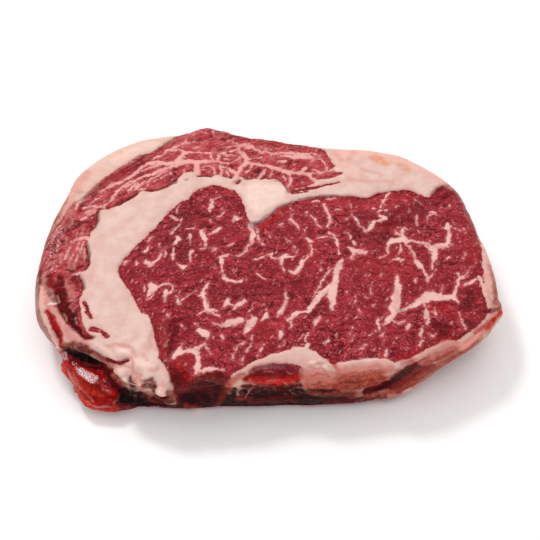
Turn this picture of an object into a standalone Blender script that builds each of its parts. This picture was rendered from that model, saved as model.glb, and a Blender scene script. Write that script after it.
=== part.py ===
# Raw ribeye steak, one piece of meat lying flat. Sizes are in millimetres and
# become metres at the end. X runs to the right and Y away from the front edge.
import math

import bpy
import bmesh
import numpy as np
from mathutils import Vector, noise

MM = 0.001

# Driving sizes of the slab
TOP_HEIGHT = 25.0
TOP_EDGE_ROLL = 3.6
BOTTOM_EDGE_ROLL = 4.5
MIDDLE_SHARE = 0.5
STATIONS = 150
EDGE_STATIONS_PER_ROW = 8
NORMAL_SPREAD = 5
TOP_RINGS = (0.86, 0.7, 0.52, 0.34, 0.16)
FACE_SIZE = 2.36
SMOOTHING_TURNS = 4
LAST_SMOOTHING_TURNS = 2
SMOOTHING_IN = 0.5
SMOOTHING_OUT = -0.52
FOOT_CUT = 0.4
SEAM_STATIONS_PER_ROW = 4

# Edge of the slab from the right end, counter-clockwise. Each row is x, y, height
# of the edge, swell of the side at half height and tuck of its foot.
EDGE = (
    (76.4, -17, 23.8, 0.4, 4), (75.6, -7, 24, 0.4, 3), (72.8, 7.4, 24, 0.8, 3),
    (70.9, 16.4, 24, 0.8, 2.5), (68.9, 24.7, 23.8, 1, 2), (66.4, 31, 23.6, 1, 2),
    (59, 38.6, 23.6, 1, 2), (54.3, 43, 23.6, 1, 2), (48, 46.8, 23.8, 1, 2),
    (41.5, 48.6, 24, 1, 2), (34.5, 50.4, 24, 1, 2), (25.2, 50.9, 24, 0.8, 2),
    (17, 51.6, 24, 0.8, 2), (10.3, 53.3, 24, 0.8, 2), (2.2, 55.2, 24, 0.8, 2),
    (-7.8, 56.8, 24, 1, 2), (-14, 59, 23.8, 1, 2), (-19.4, 61.4, 23.6, 1, 2),
    (-25, 62.9, 23.6, 0.8, 2), (-30, 60.4, 23.6, 0.8, 2), (-36, 58, 23.8, 0.8, 2),
    (-45.5, 56, 24, 0.8, 2), (-52, 53.6, 24, 0.8, 2), (-58, 49.8, 24, 0.8, 2),
    (-63.5, 44.8, 24, 0.8, 2), (-67.9, 40.4, 23.8, 0.8, 2), (-71.2, 35.4, 23.8, 0.6, 2),
    (-72.6, 29.2, 23.8, 0.6, 2), (-74.2, 23.2, 23.8, 0.6, 2), (-76.6, 16, 23.6, 0.6, 2),
    (-78.8, 6.8, 23.4, 0.4, 2), (-79.8, -0.4, 23.2, 0.4, 2), (-80.2, -8, 23, 0.4, 2),
    (-80, -16.4, 22.6, 0, 3), (-79, -24.6, 21.8, -0.6, 5), (-76.6, -29.6, 21.4, -1.4, 6),
    (-72.6, -34.2, 21, -2, 6), (-67, -38, 20.6, -2.4, 5), (-61, -40.8, 20.6, -2.4, 3),
    (-56, -43.4, 20.8, -2.4, 2), (-50.8, -47.4, 21.2, -2.4, 0), (-45, -52, 22, -2.4, 1.2),
    (-38.6, -54.6, 22.2, -2.4, 2.4), (-33, -55, 22.4, -2.4, 2.4), (-24, -54.6, 22.6, -2.2, 2),
    (-15, -53.4, 22.8, -1.8, 1.4), (-8, -51.4, 23, -0.8, -0.4), (-1, -49.4, 23, 0.6, -2.4),
    (5, -48.8, 23, 0.6, -2.6), (12, -50.4, 23, 0, -1), (20, -49.8, 23, 0, -1),
    (27, -48, 23.2, 0.6, -2.6), (34, -47.2, 23.4, 0.8, -2.2), (40.4, -48.8, 23.4, 0, 0.4),
    (47, -46.8, 23.4, -0.4, 1.6), (54.5, -42.4, 23.4, -0.6, 3), (60.2, -39.4, 23.4, -0.8, 5),
    (66.6, -35.8, 23.4, -1.6, 6.8), (71.4, -31, 23.4, -2.2, 7.4), (74.2, -26.2, 23.4, -2, 7),
    (75.8, -21.4, 23.6, -0.6, 5.4),
)

# Lobes that stand off the side. Each row is x, y, z, half width and half height.
FLAP = ((-69, -29, 10, 3, 6), (-66.8, -35.8, 9, 4.8, 7.4), (-63.4, -42, 7.2, 6.6, 7),
        (-58, -46.6, 5.6, 6.8, 5.6), (-51, -48, 4.6, 6, 4.6), (-43, -46.6, 4.6, 4.8, 4.4))
RIGHT_TIP = ((60, -31.6, 11, 3.6, 5), (67.6, -28, 11.4, 3.8, 4.4), (74, -22, 11.8, 2.8, 3.2),
             (79.4, -16.6, 12.4, 1.5, 1.6))
FRONT_LIP = ((-51, -43.6, 17.6, 3.4, 3.2), (-43, -48.2, 17.4, 4.2, 4), (-33, -50.2, 17.4, 4.2, 4.4),
             (-20, -49.6, 18.2, 3.8, 4), (-8, -46.8, 18.8, 3.4, 3.6))
FAT_BEAD = ((-34.4, -53.2, 19.6, 1.4, 1.4), (-34.3, -54.6, 17.2, 1.9, 2),
            (-34, -53.8, 14.4, 1.4, 1.4))
SIDE_OVAL = ((-6, -46.8, 16.4, 2.2, 2.6), (2, -47.4, 17, 3, 3.4), (9, -47.2, 16.8, 2, 2.6))
LOWER_LIP = ((12, -46.6, 6, 3, 4), (24, -46.8, 6.4, 3.6, 4.6), (36, -44.8, 7, 3.4, 4.2),
             (46, -41.2, 9, 3, 3.6), (54, -37.4, 10.4, 2.4, 3))
LOBES = (FLAP, RIGHT_TIP, FRONT_LIP, FAT_BEAD, SIDE_OVAL, LOWER_LIP)
LOBE_SIDES = 20
LOBE_STATIONS_PER_ROW = 5
LOBE_LIFT = 0.2
LOBE_END_SHARE = 0.6

# Seams between muscle and fat on the top face
EYE_SEAM = ((-33.6, -51), (-35.6, -46), (-38.2, -37), (-41.6, -29), (-45.2, -22.6), (-49.8, -14.6),
            (-51.2, -10.6), (-48.6, -4.2), (-43.6, 3.4), (-39.6, 8.4), (-35, 16.4), (-29, 21.8),
            (-25.5, 26.4), (-19, 28.8), (-13, 26.4), (-9.5, 19.4), (-7, 10.8), (-1, 13.4),
            (5, 19.2), (16, 22.9), (30, 23), (38, 24.8), (48, 26.6), (56, 23), (62, 28))
LOBE_SEAM = ((-7, 10.8), (-6.6, 5.4), (-7.6, 0.4), (-9.8, -3.2))
CAP_SEAM = ((-60.2, 17.4), (-54, 19), (-48, 24), (-42, 26.4), (-36, 29), (-31, 35.6),
            (-26, 33.6), (-13, 32.4), (-3, 32.2), (4, 30), (6.4, 26))
OUTER_SEAM = ((-67.8, 21.8), (-62.2, 30.2), (-55.2, 37.4), (-48.2, 44), (-40.4, 48.6), (-34, 54.4))
LEFT_GAPS = ((-60.5, 15.9), (-61.4, 7.4), (-62.5, -1.4), (-62.2, -9.4), (-63.2, -17.2))
BRIGHT_STRIP_GROOVE = ((-32.1, -32.6), (-31.2, -41.8), (-33.2, -47.4))
RIGHT_CREASE = ((52, 21.4), (58, 20), (63.5, 26.6))
EYE_HOLLOW = ((30, 4.8), (40, 4.4))
SEAMS = (
    (EYE_SEAM, 2.0, 0.9), (LOBE_SEAM, 2.0, 0.7), (CAP_SEAM, 2.0, 1.0), (OUTER_SEAM, 2.0, 0.5),
    (LEFT_GAPS, 1.8, 1.3), (BRIGHT_STRIP_GROOVE, 1.8, 0.8), (RIGHT_CREASE, 2.4, 0.9),
    (EYE_HOLLOW, 3.2, 0.8),
)

# Broad swells of the top face: x, y, half width, half depth, rise
SWELLS = (
    (-24, -8, 24, 26, 0.7), (34, -14, 34, 22, 0.5), (-55, 30, 12, 14, 0.6),
    (-6, 44, 24, 6, 0.5), (-2, 22, 7, 9, 0.8), (-56, -6, 7, 20, 0.5),
    (-46, -38, 7, 9, 0.7), (46, 34, 16, 7, 0.5), (56, -30, 10, 8, -0.5),
)

# Hollows in the side, each a line through the deepest places with width and depth
SIDE_HOLLOWS = (
    (((-70, -38.2, 15.4), (-61, -42, 15.6), (-53, -46, 15.2)), 2.4, 2.4),
    (((-44, -50, 9.4), (-34, -51.6, 9), (-22, -51.4, 9.4)), 3.4, 2.2),
    (((-24, -52.4, 14.4), (-17, -52, 14.6)), 3.0, 1.8),
    (((33, -47.6, 9.6), (40, -47, 11.6), (48, -44.6, 14.4)), 2.6, 1.8),
    (((56, -39.4, 15.4), (67, -33.6, 16.4), (74, -25.4, 17)), 2.4, 1.4),
)

# The relief of the top face fades in over this band of height
TOP_BAND_FOOT = 14.0
TOP_BAND = 6.0

# Slow unevenness of the surface
NOISE_LENGTH = 17.0
NOISE_RISE = 0.55
SMALL_NOISE_LENGTH = 6.5
SMALL_NOISE_RISE = 0.3
SIDE_NOISE_RISE = 0.6
SIDE_FADE = 1.4
SEEDS = (3, 9, 5)

MEAT_COLOUR = (0.33, 0.065, 0.075, 1.0)
MEAT_ROUGHNESS = 0.35


def smooth_rows(rows, per_row, closed):
    """Rows of numbers passed through a smooth curve, per_row stations a row."""
    rows = [np.array(r, float) for r in rows]
    count = len(rows)
    spans = count if closed else count - 1
    out = []
    for i in range(spans):
        if closed:
            a, b, c, d = (rows[(i + k) % count] for k in (-1, 0, 1, 2))
        else:
            a, b, c, d = (rows[min(max(i + k, 0), count - 1)] for k in (-1, 0, 1, 2))
        for j in range(per_row):
            t = j / per_row
            out.append(0.5 * (2 * b + (c - a) * t + (2 * a - 5 * b + 4 * c - d) * t * t
                              + (3 * b - a - 3 * c + d) * t ** 3))
    if not closed:
        out.append(rows[-1])
    return np.array(out)


def even_stations(curve, count):
    """A closed curve resampled to equal steps along its plan length."""
    closed = np.vstack([curve, curve[:1]])
    step = np.linalg.norm(np.diff(closed[:, :2], axis=0), axis=1)
    length = np.concatenate([[0], np.cumsum(step)])
    wanted = np.linspace(0, length[-1], count, endpoint=False)
    return np.stack([np.interp(wanted, length, closed[:, k]) for k in range(curve.shape[1])], 1)


def outward(plan):
    """Level outward directions along a closed counter-clockwise plan curve."""
    tangent = np.roll(plan, -1, 0) - np.roll(plan, 1, 0)
    normal = np.stack([tangent[:, 1], -tangent[:, 0]], 1)
    normal /= np.linalg.norm(normal, axis=1)[:, None]
    spread = sum(np.roll(normal, k, 0) for k in range(-NORMAL_SPREAD, NORMAL_SPREAD + 1))
    return spread / np.linalg.norm(spread, axis=1)[:, None]


def mesh_object(name, rings, first, last, collection):
    """A closed solid through rings of equal length, ended at two points."""
    mesh = bpy.data.meshes.new(name)
    bm = bmesh.new()
    rows = [[bm.verts.new(Vector(p) * MM) for p in ring] for ring in rings]
    ends = bm.verts.new(Vector(first) * MM), bm.verts.new(Vector(last) * MM)
    n = len(rows[0])
    for k in range(n):
        m = (k + 1) % n
        bm.faces.new((ends[0], rows[0][m], rows[0][k]))
        bm.faces.new((ends[1], rows[-1][k], rows[-1][m]))
        for lower, upper in zip(rows, rows[1:]):
            bm.faces.new((lower[k], lower[m], upper[m], upper[k]))
    bmesh.ops.recalc_face_normals(bm, faces=bm.faces)
    bm.to_mesh(mesh)
    bm.free()
    thing = bpy.data.objects.new(name, mesh)
    collection.objects.link(thing)
    return thing


def slab(collection):
    """The body of the steak, lofted from its foot to the middle of its top."""
    edge = even_stations(smooth_rows(EDGE, EDGE_STATIONS_PER_ROW, True), STATIONS)
    plan, height, swell, tuck = edge[:, :2], edge[:, 2], edge[:, 3], edge[:, 4]
    out = outward(plan)
    half = math.sin(math.radians(45))
    levels = (
        (0 * height, -tuck - BOTTOM_EDGE_ROLL),
        (0 * height + BOTTOM_EDGE_ROLL * (1 - half), -tuck - BOTTOM_EDGE_ROLL * (1 - half)),
        (0 * height + BOTTOM_EDGE_ROLL, -tuck),
        (0.5 * BOTTOM_EDGE_ROLL + 0.25 * height, 0.5 * (swell - tuck) + 0.3),
        (MIDDLE_SHARE * height, swell),
        (0.8 * (height - TOP_EDGE_ROLL), 0.6 * swell + 0.2),
        (height - TOP_EDGE_ROLL, 0 * height),
        (height - TOP_EDGE_ROLL * (1 - half), 0 * height - TOP_EDGE_ROLL * (1 - half)),
        (height, 0 * height - TOP_EDGE_ROLL),
    )
    rings = [np.column_stack([plan + out * offset[:, None], z]) for z, offset in levels]
    top = rings[-1]
    centre = np.array([0.0, 0.0])
    for share in TOP_RINGS:
        flat = centre + share * (top[:, :2] - centre)
        rings.append(np.column_stack([flat, height + (TOP_HEIGHT - height) * (1 - share ** 3)]))
    return mesh_object("steak", rings, (0, 0, 0), (0, 0, TOP_HEIGHT), collection)


def lobe(name, rows, collection):
    """A rounded lobe swept along a smooth line of stations."""
    line = smooth_rows(rows, LOBE_STATIONS_PER_ROW, False)
    rings = []
    for i, (x, y, z, wide, high) in enumerate(line):
        ahead, behind = line[min(i + 1, len(line) - 1)], line[max(i - 1, 0)]
        along = Vector(ahead[:3] - behind[:3]).normalized()
        across = along.cross(Vector((0, 0, 1))).normalized()
        up = across.cross(along)
        centre = Vector((x, y, max(z, high + LOBE_LIFT)))
        turns = (2 * math.pi * k / LOBE_SIDES for k in range(LOBE_SIDES))
        rings.append([centre + across * (wide * math.cos(a)) + up * (high * math.sin(a))
                      for a in turns])
    first, last = (Vector((*row[:2], max(row[2], row[4] + LOBE_LIFT))) for row in (rows[0], rows[-1]))
    start = first + (first - Vector(line[1][:3])).normalized() * rows[0][3] * LOBE_END_SHARE
    stop = last + (last - Vector(line[-2][:3])).normalized() * rows[-1][3] * LOBE_END_SHARE
    return mesh_object(name, rings, start, stop, collection)


def apply(thing, modifier):
    bpy.context.view_layer.objects.active = thing
    with bpy.context.temp_override(object=thing, active_object=thing, selected_objects=[thing]):
        bpy.ops.object.modifier_apply(modifier=modifier.name)


def line_distance(points, line):
    """Distance of each point from a broken line, in as many axes as the line has."""
    line = np.array(line, float)
    nearest = np.full(len(points), np.inf)
    for a, b in zip(line, line[1:]):
        span = b - a
        share = np.clip((points - a) @ span / (span @ span), 0, 1)
        nearest = np.minimum(nearest, np.linalg.norm(points - a - share[:, None] * span, axis=1))
    return nearest


def slow_noise(points, length, seed):
    return np.array([noise.noise(Vector(p) / length + Vector((seed, 0, 0))) for p in points])


def relief(points, normals):
    """The surface with its seams, swells, hollows and slow unevenness, in millimetres."""
    plan = points[:, :2]
    up = np.clip(normals[:, 2], 0, 1) * np.clip((points[:, 2] - TOP_BAND_FOOT) / TOP_BAND, 0, 1)
    rise = np.zeros(len(points))
    for line, width, depth in SEAMS:
        seam = smooth_rows(line, SEAM_STATIONS_PER_ROW, False)
        rise -= depth * np.exp(-(line_distance(plan, seam) / width) ** 2)
    for x, y, wide, deep, lift in SWELLS:
        rise += lift * np.exp(-((plan[:, 0] - x) / wide) ** 2 - ((plan[:, 1] - y) / deep) ** 2)
    rise += NOISE_RISE * slow_noise(points, NOISE_LENGTH, SEEDS[0])
    rise += SMALL_NOISE_RISE * slow_noise(points, SMALL_NOISE_LENGTH, SEEDS[1])
    side = 1 - np.clip(np.abs(normals[:, 2]) * SIDE_FADE, 0, 1)
    move = SIDE_NOISE_RISE * slow_noise(points, SMALL_NOISE_LENGTH, SEEDS[2]) * side
    for line, width, depth in SIDE_HOLLOWS:
        move -= depth * np.exp(-(line_distance(points, line) / width) ** 2)
    out = points + normals * move[:, None]
    out[:, 2] += rise * up
    return out


def smoothed(points, edges, turns):
    """Points drawn towards their neighbours and back out, so that the size stays."""
    touching = np.bincount(edges.ravel(), minlength=len(points)).astype(float)
    for turn in range(turns):
        total = np.zeros_like(points)
        np.add.at(total, edges[:, 0], points[edges[:, 1]])
        np.add.at(total, edges[:, 1], points[edges[:, 0]])
        share = SMOOTHING_IN if turn % 2 == 0 else SMOOTHING_OUT
        points = points + share * (total / touching[:, None] - points)
    return points


def shape(thing):
    """Even faces all over, then the relief, then the flat foot."""
    remesh = thing.modifiers.new("even faces", "REMESH")
    remesh.mode = "VOXEL"
    remesh.voxel_size = FACE_SIZE * MM
    remesh.adaptivity = 0
    apply(thing, remesh)
    mesh = thing.data
    count = len(mesh.vertices)
    points = np.empty(count * 3)
    mesh.vertices.foreach_get("co", points)
    points = points.reshape(-1, 3) / MM
    edges = np.array([e.vertices[:] for e in mesh.edges])
    points = smoothed(points, edges, SMOOTHING_TURNS)
    mesh.vertices.foreach_set("co", (points * MM).ravel())
    mesh.update()
    normals = np.array([v.normal[:] for v in mesh.vertices])
    points = smoothed(relief(points, normals), edges, LAST_SMOOTHING_TURNS)
    points[:, 2] = np.maximum(points[:, 2] - FOOT_CUT, 0)
    middle = (points[:, :2].min(0) + points[:, :2].max(0)) / 2
    points[:, :2] -= middle
    mesh.vertices.foreach_set("co", (points * MM).ravel())
    mesh.update()


def meat():
    material = bpy.data.materials.new("raw meat")
    material.use_nodes = True
    shader = material.node_tree.nodes["Principled BSDF"]
    shader.inputs["Base Color"].default_value = MEAT_COLOUR
    shader.inputs["Roughness"].default_value = MEAT_ROUGHNESS
    return material


def main():
    for thing in list(bpy.data.objects):
        bpy.data.objects.remove(thing, do_unlink=True)
    piece = bpy.data.collections.new("steak")
    lobes = bpy.data.collections.new("lobes")
    for collection in (piece, lobes):
        bpy.context.scene.collection.children.link(collection)
    steak = slab(piece)
    for number, rows in enumerate(LOBES):
        lobe("lobe " + str(number + 1), rows, lobes)
    join = steak.modifiers.new("lobes", "BOOLEAN")
    join.operation = "UNION"
    join.operand_type = "COLLECTION"
    join.collection = lobes
    join.solver = "EXACT"
    apply(steak, join)
    for thing in list(lobes.objects):
        bpy.data.objects.remove(thing, do_unlink=True)
    bpy.data.collections.remove(lobes)
    shape(steak)
    steak.data.materials.clear()
    steak.data.materials.append(meat())


main()
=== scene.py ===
# Raw ribeye steak: its fine surface, muscles, fat, marbling and wet gloss, with painted glints and painted
# shade in its creases and hollows
import math

import bmesh
import bpy
import numpy as np
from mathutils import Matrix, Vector, noise


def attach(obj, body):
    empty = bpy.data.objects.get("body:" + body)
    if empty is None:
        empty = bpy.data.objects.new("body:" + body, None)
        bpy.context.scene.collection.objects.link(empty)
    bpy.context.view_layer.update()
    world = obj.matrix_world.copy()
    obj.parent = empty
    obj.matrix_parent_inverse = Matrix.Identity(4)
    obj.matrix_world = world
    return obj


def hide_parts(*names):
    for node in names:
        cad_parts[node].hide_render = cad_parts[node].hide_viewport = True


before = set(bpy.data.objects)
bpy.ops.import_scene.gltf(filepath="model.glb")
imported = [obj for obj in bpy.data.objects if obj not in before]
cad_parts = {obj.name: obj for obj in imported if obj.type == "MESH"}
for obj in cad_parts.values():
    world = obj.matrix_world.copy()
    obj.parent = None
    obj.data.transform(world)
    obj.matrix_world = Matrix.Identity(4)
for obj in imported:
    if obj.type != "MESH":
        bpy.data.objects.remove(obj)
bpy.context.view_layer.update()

MM = 0.001
SEED = 17

# The photograph's viewpoint, and where its middle lies in the part's frame
VIEW_ELEVATION = math.radians(50)
VIEW_DISTANCE = 0.474
VIEW_LENS = 90
VIEW_SENSOR = 36
READING_ORIGIN = np.array([0.5, -3.6, -0.4])
AIM_HEIGHT = 12.0
TOP_PLANE = 25.0

# The fine surface
FACE_SIZE = 1.0
SMOOTHING_TURNS = 10
TOP_TURN = 0.12
FRONT_TURN = -0.45
FRONT_FOOT = 1.5

# Relief in millimetres
FAT_LIFT = 0.32
VEIN_LIFT = 0.12
LUMP_LIFT = 0.9
LEAN_ROUGHNESS = (0.34, 0.24)
FAT_ROUGHNESS = (0.2, 0.06)
HIDDEN_MIXING = (3.6, 2.0)
BUMP_DEPTH = 0.3

# Light: the name, place in metres, power and size of each lamp
AMBIENT_LIGHT = 0.68
LAMPS = (
    ("key", (-0.6, 0.45, 1.5), 5.6, 2.6),
    ("sparkle", (-0.45, 0.6, 1.0), 5.4, 0.22),
    ("fill", (0.8, -0.1, 1.5), 4.0, 1.6),
)
FLOOR_SIDE = 6.0

# Places below are in millimetres on the plane of the top face, as seen from the viewpoint

# Outlines of the lean muscles, around which the top face is fat
EYE_MUSCLE = """
-7 10, -8.3 15, -9.2 19, -10.5 23, -12.5 25.8, -15 27, -18 28.2, -20 28.7, -22.5 27.8, -25.5 26.3,
-27.7 24, -28.7 22, -31 20.7, -33 18.5, -35 16, -37 13, -39.7 8, -41.5 6, -43 3.5, -45.5 .5, -47.5 -2.5,
-49.5 -6, -51 -9.5, -51.3 -12, -50 -14.5, -48.5 -17.5, -47 -20, -44 -26, -42.5 -29.4, -40 -30.2, -39 -33,
-38.3 -36.5, -37 -41, -36 -45, -35.5 -48, -34 -50, -32.5 -53, -30 -60, -28 -75, -13 -75, -13.5 -60,
-12 -54, -9 -51.5, -5 -50, -2 -48.8, 1 -47.5, 4 -46, 6.5 -44.8, 8 -43.3, 9.5 -43, 10.8 -43.4, 12 -41.6,
13 -42, 12.8 -44.5, 15 -45.3, 16.3 -47, 18.3 -48.5, 20.4 -50.6, 22 -49.5, 26 -48.7, 30 -48, 34 -47.7,
37 -48, 40 -49.8, 46 -47.5, 50 -45.5, 54 -43, 59 -40.5, 61 -41, 64 -38.5, 66 -36.5, 70 -33, 71.8 -28,
71.6 -24, 71.6 -20, 71.8 -15, 72.2 -8, 72.6 -1, 72 5, 71.2 10, 70.4 14, 69 20, 67 26, 64 29, 61 28.4,
59.5 27, 58.5 25, 56.8 22.6, 55 23, 53 24.5, 50.5 25.7, 48 26.2, 45 26, 39 25, 37 24, 35 22.6, 32 22.6,
28 23.4, 20 23.2, 16 22.6, 12 21.8, 8 20.5, 5 19, 2 17, 0 14.5, -1 13, -4 10.4
"""
CAP_MUSCLE = """
-70.6 18, -67.8 21.4, -65 25, -62 29.3, -60 31.5, -57.5 34, -55 36.5, -52.5 39, -50 41.5, -48 43,
-45.5 43.8, -43 45, -40.3 47.5, -39 49.5, -37.5 51, -34 53.3, -32 62, -10 66, 14 62, 17 48, 18.6 47,
20 46, 20.6 44.4, 21.6 42.4, 22.3 41, 22 40, 23 39.2, 23.8 38, 23 37.3, 22.4 36, 23.8 35, 26.4 34.5,
23.6 33, 21 31.7, 18 31, 16 30.8, 15.4 29.2, 13 27.9, 8.5 26.7, 6.5 25, 5.6 27.4, 4 30, 2 31.5, -.5 32,
-3 32, -7 32, -10 32.6, -13 32, -15 33, -17 33.5, -19 34, -21 33.3, -26 33, -28 35.6, -31 34.6, -33.3 31,
-35 29.5, -37 28, -40 26.5, -42 26, -46 26, -47 25, -48 23.5, -51 20.5, -54 18.5, -57 17, -60 17,
-60.5 15.5, -60.2 12, -60.8 9, -62 6.6, -62.6 3, -63 0, -62 -4, -61.5 -8, -62.5 -11, -64.3 -13, -63 -16,
-62.2 -19, -63.4 -23, -62.6 -28, -61.6 -32.5, -60 -36.6, -57.5 -39.2, -58 -40.6, -63 -38.4, -66.5 -34,
-70 -28, -73 -23, -76.4 -18, -79 -12, -78.6 -5, -77.2 2, -74.6 8, -72.6 13
"""

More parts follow.
